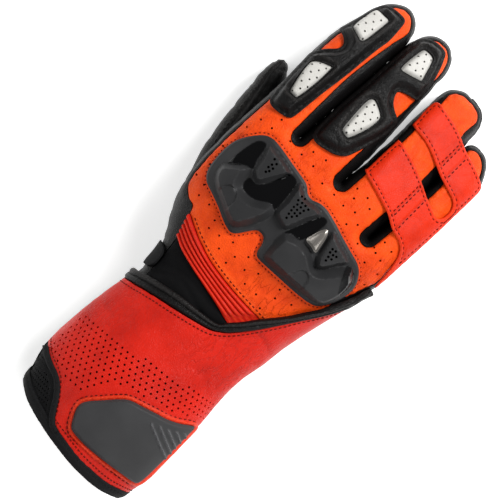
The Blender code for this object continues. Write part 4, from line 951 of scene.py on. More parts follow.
def leather(name, base, shade, specular, roughness, grain, lift, wear, hole_shade="#120705"):
    """Full-grain cowhide, dyed through and pigment finished on the drum: a pebbled grain of
    plump cells, cloudy depth of colour, fine wear lines and a low waxy sheen. Painted shade
    darkens its folds, wrinkle creases and perforations, and its wear colour lightens rubbed
    edges and paints highlights on raised crests."""
    made, shader = new_finish(name, base, roughness, specular, 1.48)
    spot = node(made, "TexCoord", {}, out="Object")
    clouds = node(made, "TexNoise", {"Vector": spot, "Scale": 45.0, "Detail": 5.0, "Roughness": 0.6})
    fine = node(made, "TexNoise", {"Vector": spot, "Scale": 900.0, "Detail": 3.0, "Roughness": 0.6})

    drift = node(made, "TexNoise", {"Vector": spot, "Scale": 0.3 / grain, "Detail": 2.0}, out=1)
    shifted = node(made, "VectorMath", {0: drift, 1: (grain * 0.8,) * 3, 2: spot}, TIMES_AND_PLUS)
    cells = {"Vector": shifted, "Scale": 1.0 / grain}
    walls = node(made, "TexVoronoi", cells, {"feature": "DISTANCE_TO_EDGE"})
    cell = node(made, "MapRange", {0: walls, 1: 0.0, 2: 0.35})
    groove = node(made, "MapRange", {0: cell, 1: 0.0, 2: 0.25, 3: 0.35, 4: 0.0})

    # Wear lines run slantwise and longer than they are wide
    drawn = node(made, "Mapping", {"Vector": spot, "Scale": (1.0, 0.28, 1.0), "Rotation": (0, 0, 0.45)})
    swirl = node(made, "TexNoise", {"Vector": drawn, "Scale": 210.0, "Detail": 3.0, "Distortion": 1.2})
    middle = node(made, "Math", {0: swirl, 1: 0.5}, {"operation": "SUBTRACT"})
    away = node(made, "Math", {0: middle}, {"operation": "ABSOLUTE"})
    line = node(made, "MapRange", {0: away, 1: 0.0, 2: 0.045, 3: 1.0, 4: 0.0})
    worn_place = node(made, "Attribute", {}, {"attribute_name": "crease"}, "Fac")
    wrinkle = node(made, "Math", {0: line, 1: worn_place}, TIMES)

    # Colour: clouds, wear on rubbed edges with painted highlights on crests, grooves, and painted shade in
    # folds, wrinkle creases and perforations
    cloud = node(made, "MapRange", {0: clouds, 1: 0.30, 2: 0.55, 3: 0.35, 4: 1.0})
    tone = node(made, "Mix", {0: cloud, 6: linear(shade), 7: linear(base)}, COLOUR_MIX, 2)
    # Lighter wear colour on rubbed edges, which also paints highlights on raised crests
    wear_and_highlight_share = node(made, "Attribute", {}, {"attribute_name": "wear_and_highlight"}, "Fac")
    patchy = node(made, "MapRange", {0: fine, 1: 0.3, 2: 0.6})
    wear_and_highlight_share = node(made, "Math", {0: wear_and_highlight_share, 1: patchy}, TIMES)
    tone = node(made, "Mix", {0: wear_and_highlight_share, 6: tone, 7: linear(wear)}, COLOUR_MIX, 2)
    tone = node(made, "Mix", {0: groove, 6: tone, 7: linear(shade)}, COLOUR_MIX, 2)
    # Painted shade in folds, seam grooves, rib troughs and along sunk edges
    fold_shade = node(made, "Attribute", {}, {"attribute_name": "fold"}, "Fac")
    tone = node(made, "Mix", {0: fold_shade, 6: tone, 7: linear(shade)}, COLOUR_MIX, 2)
    # Painted shade in the wrinkle creases
    wrinkle_shade = node(made, "Math", {0: wrinkle, 1: 0.4}, TIMES)
    tone = node(made, "Mix", {0: wrinkle_shade, 6: tone, 7: linear(shade)}, COLOUR_MIX, 2)
    # Painted shade inside the perforation dimples
    hole_shade_share = node(made, "Attribute", {}, {"attribute_name": "hole_shade"}, "Fac")
    tone = node(made, "Mix", {0: hole_shade_share, 6: tone, 7: linear(hole_shade)}, COLOUR_MIX, 2)

    rough = node(made, "MapRange", {0: fine, 1: 0.25, 2: 0.75, 3: roughness - 0.06, 4: roughness + 0.08})
    swell = node(made, "MapRange", {0: clouds, 1: 0.3, 2: 0.7, 3: 0.0, 4: 0.8})
    tall = node(made, "Math", {0: cell, 1: swell}, {"operation": "ADD"})
    tall = node(made, "Math", {0: wrinkle, 1: -3.5, 2: tall}, TIMES_AND_PLUS)
    bump = node(made, "Bump", {"Strength": lift, "Distance": 0.00018, "Height": tall})
    fill(made, shader, {"Base Color": tone, "Roughness": rough, "Normal": bump})
    return made


def woven(name, base, shade, yarn, roughness, turn=0.0):
    """Polyester yarn in a plain weave with an elastic backing: matt, faintly furry, with
    crossing yarns. The yarns are drawn coarser than their real 0.35 mm so that they show.
    Painted shade darkens the holes of the mesh."""
    made, shader = new_finish(name, base, roughness, 0.12, 1.5)
    spot = node(made, "TexCoord", {}, out="Object")
    turned = node(made, "Mapping", {"Vector": spot, "Rotation": (0, 0, turn)})
    yarns = {"Vector": turned, "Scale": WAVE_PERIOD / yarn, "Distortion": 0.6}
    warp = node(made, "TexWave", yarns, {"bands_direction": "X"}, 1)
    weft = node(made, "TexWave", yarns, {"bands_direction": "Y"}, 1)
    cross = node(made, "Math", {0: warp, 1: weft}, TIMES)
    fuzz = node(made, "TexNoise", {"Vector": spot, "Scale": 260.0, "Detail": 6.0, "Roughness": 0.7})
    patchy = node(made, "MapRange", {0: fuzz, 1: 0.2, 2: 0.8})
    raised = node(made, "Math", {0: cross, 1: patchy}, TIMES)
    tone = node(made, "Mix", {0: raised, 6: linear(shade), 7: linear(base)}, COLOUR_MIX, 2)
    # Painted shade inside the holes of the mesh
    hole_shade_share = node(made, "Attribute", {}, {"attribute_name": "hole_shade"}, "Fac")
    tone = node(made, "Mix", {0: hole_shade_share, 6: tone, 7: linear("#050505")}, COLOUR_MIX, 2)
    bump = node(made, "Bump", {"Strength": 0.6, "Distance": 0.0002, "Height": raised})
    fill(made, shader, {"Base Color": tone, "Normal": bump})
    return made


def moulded(name, base, shade, roughness, gloss="#060607"):
    """Injection-moulded thermoplastic polyurethane with a fine spark-eroded texture: a satin
    face with soft broad highlights, and polished recesses that mirror the lights. Its wear
    colour paints highlights along raised ridges, and painted shade darkens its vents."""
    made, shader = new_finish(name, base, roughness, 0.24, 1.49)
    spot = node(made, "TexCoord", {}, out="Object")
    fine = node(made, "TexNoise", {"Vector": spot, "Scale": 2600.0, "Detail": 2.0})
    clouds = node(made, "TexNoise", {"Vector": spot, "Scale": 60.0, "Detail": 4.0})
    drawn = node(made, "Mapping", {"Vector": spot, "Scale": (1.0, 0.25, 1.0), "Rotation": (0, 0, 0.5)})
    scuffs = node(made, "TexNoise", {"Vector": drawn, "Scale": 420.0, "Detail": 8.0, "Roughness": 0.75})

    cloud = node(made, "MapRange", {0: clouds, 1: 0.35, 2: 0.65})
    tone = node(made, "Mix", {0: cloud, 6: linear(shade), 7: linear(base)}, COLOUR_MIX, 2)
    scuff = node(made, "MapRange", {0: scuffs, 1: 0.66, 2: 0.8, 3: 0.0, 4: 0.35})
    tone = node(made, "Mix", {0: scuff, 6: tone, 7: linear("#6a6a6c")}, COLOUR_MIX, 2)
    # Painted highlight along raised ridges, mixed with wear
    wear_and_highlight_share = node(made, "Attribute", {}, {"attribute_name": "wear_and_highlight"}, "Fac")
    tone = node(made, "Mix", {0: wear_and_highlight_share, 6: tone, 7: linear("#5c5c5e")}, COLOUR_MIX, 2)
    polished = node(made, "Attribute", {}, {"attribute_name": "gloss"}, "Fac")
    tone = node(made, "Mix", {0: polished, 6: tone, 7: linear(gloss)}, COLOUR_MIX, 2)
    # Painted shade inside the vents
    hole_shade_share = node(made, "Attribute", {}, {"attribute_name": "hole_shade"}, "Fac")
    tone = node(made, "Mix", {0: hole_shade_share, 6: tone, 7: linear("#1c0705")}, COLOUR_MIX, 2)

    satin = node(made, "MapRange", {0: fine, 1: 0.3, 2: 0.7, 3: roughness - 0.05, 4: roughness + 0.06})
    dull = node(made, "MapRange", {0: polished, 1: 0.0, 2: 1.0, 3: 1.0, 4: 0.0})
    rough = node(made, "Math", {0: satin, 1: dull, 2: 0.07}, TIMES_AND_PLUS)
    bump = node(made, "Bump", {"Strength": 0.25, "Distance": 0.00006, "Height": fine})
    fill(made, shader, {"Base Color": tone, "Roughness": rough, "Normal": bump})
    return made


def metallised(name, base):
    """Vacuum-metallised plastic under clear lacquer: a brushed silver face whose highlight
    is drawn out across the brushing."""
    made, shader = new_finish(name, base, 0.26, 0.5, 1.5, 0.75)
    spot = node(made, "TexCoord", {}, out="Object")
    drawn = node(made, "Mapping", {"Vector": spot, "Scale": (1.0, 0.06, 1.0)})
    strokes = node(made, "TexNoise", {"Vector": drawn, "Scale": 1800.0, "Detail": 4.0})
    rough = node(made, "MapRange", {0: strokes, 1: 0.3, 2: 0.7, 3: 0.26, 4: 0.44})
    fill(made, shader, {"Roughness": rough})
    return made


def bonded_thread(name, base, shade):
    """Bonded nylon sewing thread: three plies twisted under a thin waxy coat. Light and dark
    bands painted slantwise across each stitch are painted light and shade on the plies."""
    made, shader = new_finish(name, base, 0.75, 0.12, 1.53)
    spot = node(made, "TexCoord", {}, out="Object")
    turned = node(made, "Mapping", {"Vector": spot, "Rotation": (0, 0, 0.7)})
    twist = {"Vector": turned, "Scale": 500.0, "Distortion": 1.0}
    ply = node(made, "TexWave", twist, {"bands_direction": "DIAGONAL"}, 1)
    # Painted shade between the twisted plies
    tone = node(made, "Mix", {0: ply, 6: linear(shade), 7: linear(base)}, COLOUR_MIX, 2)
    bump = node(made, "Bump", {"Strength": 0.5, "Distance": 0.0001, "Height": ply})
    fill(made, shader, {"Base Color": tone, "Normal": bump})
    return made


# Grain is drawn at 1.0 to 1.2 mm, coarser than cowhide's real 0.4 mm, so that it shows
# Each leather's wear colour also paints highlights on crests, and its last colour, where given, paints the
# shade in its holes
orange_cowhide = leather("orange_cowhide", "#f4500f", "#c93406", 0.14, 0.50, 0.0012, 0.75, "#fb6a24")
red_cowhide = leather("red_cowhide", "#cf2010", "#a81408", 0.15, 0.42, 0.0011, 0.55, "#ea4c20")
strap_microfibre = leather("strap_microfibre", "#d92c0a", "#ae1e06", 0.15, 0.44, 0.0010, 0.45, "#ee4c24")
black_cowhide = leather("black_cowhide", "#0f0e0e", "#080707", 0.16, 0.40, 0.0011, 0.70, "#3c3937", "#030303")
padded_cowhide = leather(
    "padded_cowhide", "#0e0d0d", "#070606", 0.16, 0.40, 0.0010, 0.70, "#3e3b39", "#030303"
)
white_cowhide = leather("white_cowhide", "#cbc9c4", "#b9b7b0", 0.20, 0.50, 0.0010, 0.30, "#f4f3f0", "#1a1918")
stretch_textile = woven("stretch_textile", "#151516", "#060607", 0.0008, 0.85)
binding_tape = woven("binding_tape", "#29292a", "#111112", 0.0007, 0.75, 0.7)
spacer_mesh = woven("spacer_mesh", "#262627", "#0b0b0c", 0.0010, 0.8, 0.4)
moulded_guard = moulded("moulded_guard", "#2a2a2b", "#252526", 0.42)
moulded_armour = moulded("moulded_armour", "#363637", "#313132", 0.52)
metallised_plastic = metallised("metallised_plastic", "#8e8983")
dark_red_thread = bonded_thread("dark_red_thread", "#6a1006", "#340703")
black_thread = bonded_thread("black_thread", "#232120", "#080707")


# The hand
BACK_PERFORATIONS = (
    (-68.9, 113.3), (-83.9, 98.9), (-69.8, 100.5), (-47.6, 104.5), (-30.8, 102.9), (-24.2, 112.8),
    (-9.5, 115.8), (-14.3, 102.7), (4.1, 97), (20.1, 97.8), (36.7, 108.8), (34.2, 96.2), (31.9, 118.1),
    (46, 118.7), (55, 112.3), (47.1, 99.7), (57.7, 92.8), (49.4, 85.4), (71, 80), (89, 100),
    (100.6, 97.9), (85, 89), (99.3, 83.8), (-88.4, 84), (89.2, 71.5), (107.5, 72.3), (105.2, 55.7),
    (-92, 54), (-90.8, 15.2), (-78.3, 13.4), (-74.5, 2.4), (-60.4, 3.2), (-45.4, -4), (-44.2, -13.5),
    (-31.6, -11.5), (-17.2, -6.7), (-22.8, -20.8), (-7.9, -26), (-5.8, -15.5), (3.9, -6.2), (10.2, -18.1),
    (22.5, -10.9), (20.1, -27.5), (35.3, -26.9), (48.7, -7.1), (51.6, -16.5), (67.6, -9.6), (47.8, -34.1),
    (-88.6, 32), (90, 86), (76, 92),
)


def belt_rows(outline, first, last, trim_start, trim_end, skin):
    """The rounded side of the hand between two breaks of its outline, as a grid."""
    stretch = outline[first : last + 1]
    along = lengths_along(stretch)
    wanted = along[thinned(stretch, units_across(2.0), math.radians(7))]
    wanted[0] += trim_start
    wanted[-1] -= trim_end
    samples = at_lengths(stretch, wanted)
    wanted = wanted + lengths_along(outline)[first]
    way = (at_lengths(outline, wanted + 2e-4) - at_lengths(outline, wanted - 2e-4))[:, :2]
    way /= np.linalg.norm(way, axis=1)[:, None]
    inward = np.column_stack([way[:, 1], -way[:, 0]])
    plan, seam = samples[:, :2], samples[:, 2]
    points, normals, shares = [], [], []
    spans = ((TOP, seam, np.linspace(1, 0, 9)), (BOTTOM, units_across(PALM_INSET), np.linspace(0, 1, 9)[1:]))
    for side, depth_at_seam, steps in spans:
        reach = skin.reach(plan, side)
        full = np.arccos((1.0 - (depth_at_seam - SEAM_GAP / 2) / reach) ** (SIDE_POWER / 2))
        for step in steps:
            depth = reach * (1.0 - np.cos(full * step) ** (2 / SIDE_POWER))
            place, normal = skin.lifted(plan + inward * depth[:, None], side, depth, inward)
            points.append(place)
            normals.append(normal)
            shares.append(step * side)
    inset = seam + SEAM_GAP / 2
    back_edge = plan + inward * inset[:, None]
    palm_edge = plan + inward * (units_across(PALM_INSET) + SEAM_GAP / 2)
    return np.stack(points, 1), np.stack(normals, 1), np.array(shares), wanted, back_edge, palm_edge


def make_belts(outline, breaks, skin):
    """The black side walls and the strips between the fingers, with a raised seam along
    their middle and small creases across it."""
    names = (
        "thumb_side_wall",
        "fourchette_index_middle",
        "fourchette_middle_ring",
        "fourchette_ring_little",
        "little_side_wall",
    )
    back_seam, palm_seam = [], []
    for i, name in enumerate(names):
        start = TIP_SEAM_GAP / 2 if i else 0.0
        end = TIP_SEAM_GAP / 2 if i < len(names) - 1 else 0.0
        points, normals, shares, along, back_edge, palm_edge = belt_rows(
            outline, breaks[i], breaks[i + 1], start, end, skin
        )
        back_seam.append(back_edge)
        palm_seam.append(palm_edge)
        rows, columns = points.shape[:2]
        share = np.tile(shares, rows)
        run = np.column_stack([np.repeat(along, columns), share * 0.006])
        offset = -0.00045 * smoothstep((np.abs(share) - 0.72) / 0.28)
        swell = 0.0010 if name == "fourchette_ring_little" else 0.0006
        offset += swell * bell(share, 0.22, -0.10)
        fold = creases(run, 0.012, 0.0042, 80, 11 + i) * (1 - np.abs(share))
        offset += 0.0002 * smooth_noise(run, 0.006, 30 + i) - 0.0004 * fold
        flat, ups = points.reshape(-1, 3), normals.reshape(-1, 3)
        # Painted shade in the creases, and wear with a painted highlight along the crest of the raised seam
        levels = {"fold": 0.5 * fold, "wear_and_highlight": 0.25 * bell(share, 0.12, -0.12)}
        sewn(
            name, flat, ups, grid_faces(rows, columns), offset, offset - HAND_LEATHER, black_cowhide, levels
        )
    return np.vstack(back_seam), np.vstack(palm_seam)


def make_back(seam, rib_top, skin, guard_line, thread):
    """The orange back with its finger backs, stitched round the guard and along its foot."""
    gap = SEAM_GAP / 2
    upper = above(seam, rib_top, gap)
    shared = line_between(rib_top + [0, gap], upper[-1], upper[0], CUT_PITCH)
    outline = np.vstack([upper, shared])[::-1]
    pricks = metres(BACK_PERFORATIONS)
    stitch_line = loop(drawn_in(guard_line, -units_across(2.8)))
    plan, faces = cut_out(outline, CUT_PITCH, pricks=pricks)
    points, normals = skin.lifted(plan, TOP)

    def surface(spots):
        edge = distance_to([outline], spots)
        rise = -rolled_edge(edge) + puckers(spots, edge, 0.0052, 0.00012, 0.003, 5)
        beside = nearest_on(stitch_line, spots)[0]
        rise -= 0.00040 * bell(beside, 0.0006)
        rise += puckers(spots, beside, 0.0045, 0.00014, 0.0016, 8)
        hand = patch(spots, 50, -22, 66, 30)
        roots = patch(spots, 0, 104, 130, 18)
        sides = patch(spots, -92, 60, 26, 80) + patch(spots, 106, 70, 22, 50)
        folds = hand * creases(spots, 0.022, 0.0072, 17, 21)
        folds = np.maximum(folds, 0.7 * roots * creases(spots, 0.014, 0.0064, 84, 22))
        folds = np.maximum(folds, 0.6 * np.clip(sides, 0, 1) * creases(spots, 0.012, 0.0060, 5, 23))
        tips = smoothstep((spots[:, 1] - 0.062) / 0.01)
        folds = np.maximum(folds, 0.5 * tips * creases(spots, 0.010, 0.0060, 4, 24))
        folds *= smoothstep(edge / 0.002)
        rise += 0.00024 * smooth_noise(spots, 0.007, 25) + 0.0001 * smooth_noise(spots, 0.0028, 26)
        folds = np.clip(folds + 0.35 * creases(spots, 0.012, 0.0060, 30, 27) * smoothstep(edge / 0.003), 0, 1)
        wear = np.clip(0.10 + 0.85 * hand + 0.4 * roots + 0.7 * sides + 0.15 * tips, 0, 1)
        # The second value is painted shade: the folds and the groove beside the guard's stitching
        return rise - 0.0008 * folds, np.maximum(folds, 0.8 * bell(beside, 0.0006)), edge, wear

    def height(spots):
        return surface(spots)[0]

    rise, folds, edge, wear = surface(plan)
    # dark is the painted shade in the perforations; the fold share is painted shade in the folds, the seam
    # groove and along the sunk edge, beside a lighter band of wear near the edge
    sunk, dark = pricked(plan, pricks, 0.0011)
    levels = {
        "fold": np.clip(0.8 * folds + 0.4 * bell(edge, 0.0008), 0, 1),
        "wear_and_highlight": 0.25 * (edge < 0.004),
        "hole_shade": dark,
        "crease": wear,
    }
    sewn(
        "back_leather", points, normals, faces, rise - sunk, np.minimum(rise, 0) - HAND_LEATHER,
        orange_cowhide, levels,
    )
    path = even_path(stitch_line, 0.001)
    thread["dark_red"].row(path, skin, TOP, height, pitch=0.0023, length=0.0011)
    foot = np.vstack([upper[-1:], shared, upper[:1]]) + [0, units_across(3.6)]
    thread["dark_red"].row(foot[3:-3], skin, TOP, height)


def make_accordion(left, right, rib_top, rib_foot, skin):
    """The red stretch panel, whose ribs run from one side seam to the other and flatten
    where the cuff's roll crosses them. Painted shade darkens the troughs between the ribs,
    and a painted highlight lightens their crests."""
    gap = SEAM_GAP / 2
    rib_rows, columns = 56, 130
    grid = []
    for b in np.linspace(0.0, 1.0, rib_rows):
        edge_line = rib_foot * (1 - b) + rib_top * b + [0, gap * (1 - 2 * b)]
        low, high = crossing(left, edge_line), crossing(right, edge_line)
        run = at_lengths(edge_line, np.linspace(0, lengths_along(edge_line)[-1], 900))
        run = run[(run[:, 0] > low) & (run[:, 0] < high)]
        grid.append(even_path(run, lengths_along(run)[-1] / (columns - 1))[:columns])
    columns = min(len(row) for row in grid)
    plan = np.vstack([row[:columns] for row in grid])
    points, normals = skin.lifted(plan, TOP)
    across = np.repeat(np.linspace(0.0, 1.0, rib_rows), columns)
    welt = metres(WELT_TOP)
    free = plan[:, 1] - np.interp(plan[:, 0], welt[:, 0], welt[:, 1]) - units_across(6)
    wave = np.abs(np.sin(math.pi * RIB_COUNT * across))
    rib = RIB_HEIGHT * wave**0.62 * smoothstep(free / units_across(10))
    rib += 0.00018 * smooth_noise(plan, 0.008, 31) * wave
    # Painted shade in the troughs, painted highlight on the crests
    levels = {"fold": 0.75 * (1 - wave) ** 3, "wear_and_highlight": 0.5 * wave**6}
    faces = [face[::-1] for face in grid_faces(rib_rows, columns)]
    sewn(
        "accordion_panel", points, normals, faces, rib, rib - HAND_LEATHER, red_cowhide, levels
    )


def make_wrist_back(left, right, rib_foot, skin):
    """The black stretch textile between the ribs and the cuff, with shallow cross folds."""
    gap = SEAM_GAP / 2
    wrist_left = above(left, rib_foot, -gap)
    wrist_right = above(right, rib_foot, -gap)
    shared = line_between(rib_foot - [0, gap], wrist_left[-1], wrist_right[0], CUT_PITCH)
    foot = even_path(np.vstack([wrist_right[-1], wrist_left[0]]), CUT_PITCH)[1:-1]
    outline = np.vstack([wrist_left, shared, wrist_right, foot])[::-1]
    plan, faces = cut_out(outline, CUT_PITCH * 1.2)
    points, normals = skin.lifted(plan, TOP)
    edge = distance_to([outline], plan)
    folds = creases(plan, 0.035, 0.007, 8, 41) * smoothstep(edge / 0.004)
    rise = 0.0004 * smooth_noise(plan, 0.012, 42) - 0.0009 * folds - rolled_edge(edge)
    levels = {"fold": 0.5 * folds}
    sewn("wrist_back", points, normals, faces, rise, rise - HAND_LEATHER, stretch_textile, levels)


# Stitched pads on the palm: u, v
PALM_PADS = (
    ((-20, -52), (34, -60), (72, -52), (84, -20), (80, 16), (52, 24), (20, 6), (-10, -20)),
    ((-62, 84), (-20, 92), (30, 84), (78, 66), (84, 48), (40, 52), (-10, 62), (-58, 62)),
)


def make_palm(seam, skin, thread):
    """The palm with its finger fronts: creased across the joints, with a stitched padded
    heel, and pressed out where it meets the surface below."""
    count = int(np.linalg.norm(seam[-1] - seam[0]) / CUT_PITCH)
    outline = np.vstack([seam, np.linspace(seam[-1], seam[0], count)[1:-1]])[::-1]
    hole = thumb_foot(skin)
    plan, faces = cut_out(outline, CUT_PITCH * 1.15, holes=[hole])
    points, normals = skin.lifted(plan, BOTTOM)
    edge = distance_to([outline], plan)
    free = np.clip(points[:, 2] / 0.0006, 0.0, 1.0)
    rise = -rolled_edge(edge) + puckers(plan, edge, 0.0052, 0.0001, 0.003, 51)
    folds = 0.8 * creases(plan, 0.016, 0.0045, 3, 52) * smoothstep(edge / 0.003)
    for patch_line in [even_outline(line, 0.001) for line in PALM_PADS]:
        inside = depth_inside(patch_line, plan)
        rise += 0.0004 * smoothstep(inside / 0.0009)
        rise -= 0.0003 * bell(inside, 0.0005, 0.0016)
        thread["black"].row(
            loop(even_path(drawn_in(patch_line, 0.0017), 0.001)), skin, BOTTOM, 0.00012, radius=FINE_THREAD
        )
    rise = (rise - 0.0004 * folds) * free - 0.0004 * (1 - free)
    # Painted shade in the creases, and the wear colour lightening the leather between them
    levels = {"fold": 0.5 * folds, "wear_and_highlight": 0.2 * (folds < 0.2)}
    pressed = np.minimum(rise, points[:, 2] * 0.9)
    sewn(
        "palm_leather", points, normals, faces[:, ::-1], pressed, -HAND_LEATHER - 0.0004,
        black_cowhide, levels,
    )


def thumb_rows():
    """The thumb's sections at a fine pitch, and the way that it runs at each."""
    rows = catmull(THUMB_SECTIONS, 7)
    way = np.gradient(rows[:, :2] * UNIT, axis=0)
    return rows, way / np.linalg.norm(way, axis=1)[:, None]


def thumb_foot(skin):
    """The outline of the hole in the palm that the thumb is set in."""
    rows, way = thumb_rows()
    left, right = [], []
    for row, direction in zip(rows, way):
        u, v, z, half_width, half_height = row
        centre = metres([(u, v)])[0]
        low = (z - half_height) * KNUCKLE_HEIGHT
        side = np.array([direction[1], -direction[0]]) * (units_across(half_width) + HOLE_CLEARANCE)
        palm = skin.levels(centre[None])[2][0]
        if low < palm + 0.001 and v < 60:
            left.append(centre - side * 0.9)
            right.append(centre + side * 0.9)
    ring = np.vstack([left, right[::-1]])
    inside = is_inside(skin.edge, ring) & (nearest_on(skin.edge, ring)[0] > units_across(PALM_INSET + 1.5))
    ring = ring[inside]
    return even_path(loop(ring), 0.0012)[:-1]


def make_thumb(thread):
    """The thumb's tube of leather, with a seam along each side and creases over its joint."""
    rows, way = thumb_rows()
    around = THUMB_COLUMNS
    points = []
    for row, direction in zip(rows, way):
        u, v, z, half_width, half_height = row
        centre = metres([(u, v)])[0]
        side = np.array([direction[1], -direction[0]])
        turn = 2 * math.pi * np.arange(around) / around
        c, s = np.cos(turn), np.sin(turn)
        x = np.sign(c) * np.abs(c) ** (2 / THUMB_POWER) * units_across(half_width)
        y = np.sign(s) * np.abs(s) ** (2 / THUMB_POWER) * half_height * KNUCKLE_HEIGHT
        points.append(np.column_stack([centre + x[:, None] * side, z * KNUCKLE_HEIGHT + y]))
    rings = np.array(points)
    tip = np.array([*metres([THUMB_TIP[:2]])[0], THUMB_TIP[2] * KNUCKLE_HEIGHT])
    for share in (0.35, 0.6, 0.8, 0.93, 0.985):
        ring = points[-1]
        grown = math.sqrt(1 - share**2)
        middle = points[-1].mean(0) * (1 - share) + tip * share
        rings = np.concatenate([rings, (middle + (ring - ring.mean(0)) * grown)[None]])
    count = len(rings)
    along = np.gradient(rings, axis=0)
    across = np.roll(rings, -1, axis=1) - np.roll(rings, 1, axis=1)
    normals = np.cross(across, along)
    normals /= np.maximum(np.linalg.norm(normals, axis=2), 1e-12)[..., None]
    outward = ((rings - rings.mean(1)[:, None]) * normals).sum(2)
    normals *= np.sign(np.median(outward))
    turn = np.tile(2 * math.pi * np.arange(around) / around, count)
    run = np.column_stack([np.repeat(np.arange(count), around) * 0.0022, turn * THUMB_RADIUS])
    seam = np.minimum(*[np.abs(turn - at) for at in THUMB_SEAMS]) * THUMB_RADIUS
    fold = creases(run, 0.02, 0.004, 86, 61) * smoothstep(np.abs(seam) / 0.002)
    rise = 0.00025 * smooth_noise(run, 0.007, 62) - 0.0005 * fold - 0.0005 * bell(seam, 0.0007)
    rise += 0.00025 * bell(seam, 0.0008, 0.0013)
    rise = np.where(turn > math.pi, np.minimum(rise, 0.0001), rise)
    flat, ups = rings.reshape(-1, 3), normals.reshape(-1, 3)
    outer = flat + ups * rise[:, None]
    outer[:, 2] = np.maximum(outer[:, 2], 0.0001)
    inner = flat - ups * THUMB_LEATHER
    inner[-5 * around :] = flat[-5 * around :] + (rings[-7].mean(0) - flat[-5 * around :]) * 0.2
    faces = grid_faces(count, around, closed=True)
    total = count * around
    vertices = np.vstack([outer, inner, tip[None], inner[-around:].mean(0)[None]])
    inside = [tuple(i + total for i in reversed(face)) for face in faces]
    last = (count - 1) * around
    tips = [(last + k, 2 * total, last + (k + 1) % around) for k in range(around)]
    tips += [(total + last + (k + 1) % around, 2 * total + 1, total + last + k) for k in range(around)]
    rim = [((k + 1) % around, (k + 1) % around + total, k + total, k) for k in range(around)]
    # Painted shade in the creases, and the wear colour lightening the leather between them
    levels = {
        "fold": np.concatenate([0.5 * fold, 0.5 * fold, [0, 0]]),
        "wear_and_highlight": np.concatenate([0.3 * (fold < 0.1), 0 * fold, [0, 0]]),
    }
    add_piece("thumb", vertices, [*faces, *inside, *tips, *rim], black_cowhide, ["thumb"], levels)
    for offset in (-0.0016, 0.0016):
        k = int(round((THUMB_SEAMS[0] + offset / THUMB_RADIUS) / (2 * math.pi) * around))
        line = outer.reshape(count, around, 3)[:, k]
        ups_there = ups.reshape(count, around, 3)[:, k]
        spots = np.arange(8, count * 0.92, 1.25)
        for at in spots:
            start, end = [
                np.array([np.interp(x, range(count), line[:, c]) for c in range(3)]) for x in (at, at + 0.8)
            ]
            thread["black"].stitch(start, end, ups_there[int(at)], FINE_THREAD)


# What lies over the leather
def overlay(
    name, skin, outline, pitch, outer, finish, holes=(), pricks=(), prick_radius=PERFORATION_RADIUS, sharp=50
):
    """A piece laid on the back of a skin, whose outer face is given above plan points."""
    plan, faces = cut_out(outline, pitch, holes, pricks, prick_radius)
    points, normals = skin.lifted(plan, TOP)
    rise, levels = outer(plan)
    # Painted shade inside the perforations and vents
    sunk, dark = pricked(plan, pricks, np.maximum(rise - LAYER_GAP - 0.0003, 0.0002), prick_radius)
    levels = {"hole_shade": dark, **levels}
    return sewn(name, points, normals, faces, rise - sunk, LAYER_GAP, finish, levels, sharp)


def make_pads(skin, thread):
    """The padded leather over the index and middle fingers: a flat stitched margin, a plump
    middle, and perforated white panels let into it."""
    sets = (
        ("index", INDEX_PAD, INDEX_WINDOW_FAR, INDEX_WINDOW_NEAR, 5),
        ("middle", MIDDLE_PAD, MIDDLE_WINDOW_FAR, MIDDLE_WINDOW_NEAR, 9),
    )
    for finger, pad, far, near, seed in sets:
        outline = even_outline(pad, PLATE_PITCH)
        windows = [even_outline(far, PLATE_PITCH), even_outline(near, PLATE_PITCH)]

        def outer(plan):
            edge = distance_to([outline], plan)
            inside = is_inside(windows[0], plan) | is_inside(windows[1], plan)
            window = np.where(inside, 0.0, distance_to(windows, plan))
            plump = smoothstep((edge - 0.0016) / 0.0034)
            lip = smoothstep(window / 0.0011)
            fold = 0.8 * creases(plan, 0.011, 0.0034, 5, 70 + seed) * plump * lip
            rise = 0.0009 + (PAD_THICKNESS + 0.0004) * (plump * (0.35 + 0.65 * lip))
            rise += 0.0002 * smoothstep(edge / 0.0005) - 0.0004 * bell(edge, 0.0004, 0.0015)
            rise += puckers(plan, edge - 0.0015, 0.0046, 0.00012, 0.0012, seed)
            rise += 0.00025 * smooth_noise(plan, 0.006, 80 + seed) * plump - 0.00045 * fold
            # A lighter lip round each window, wear with a painted highlight; painted shade in the creases
            wear_and_highlight = 0.5 * plump * bell(window, 0.0008, 0.0012)
            return LAYER_GAP + rise, {"fold": 0.5 * fold, "wear_and_highlight": wear_and_highlight}

        laps = [inset_by(window, WINDOW_LAP) for window in windows]
        made = overlay(finger + "_pad", skin, outline, PLATE_PITCH, outer, padded_cowhide, laps)
        path = even_path(loop(drawn_in(outline, 0.0015)), 0.0008)
        thread["black"].row(
            path, skin, TOP, lambda spots: outer(spots)[0], pitch=0.0024, length=0.0018, radius=FINE_THREAD
        )
        for place, window in zip(("far", "near"), windows):
            inset = inset_by(window, PANEL_INSET)
            low = inset.min(0)
            step = units_across(7.4)
            spots = []
            for j in range(9):
                for i in range(7):
                    spots.append((low[0] + (i + 0.5 * (j % 2)) * step, low[1] + 0.0016 + j * step * 0.86))
            spots = np.array(spots)
            spots = spots[is_inside(inset, spots) & (distance_to([inset], spots) > 0.0011)]

            def panel(plan):
                edge = distance_to([inset], plan)
                crown = INSERT_THICKNESS * smoothstep(edge / 0.0022)
                rise = 0.0007 + crown + 0.0002 * smoothstep(edge / 0.0006)
                rise += 0.00012 * smooth_noise(plan, 0.004, 90 + seed)
                # Painted shade where the panel's edge dips under the frame
                return LAYER_GAP + rise, {"fold": 0.25 * bell(edge, 0.0006)}

            name = finger + "_" + place + "_panel"
            made = overlay(name, skin, inset, PLATE_PITCH, panel, white_cowhide, (), spots, 0.00055)


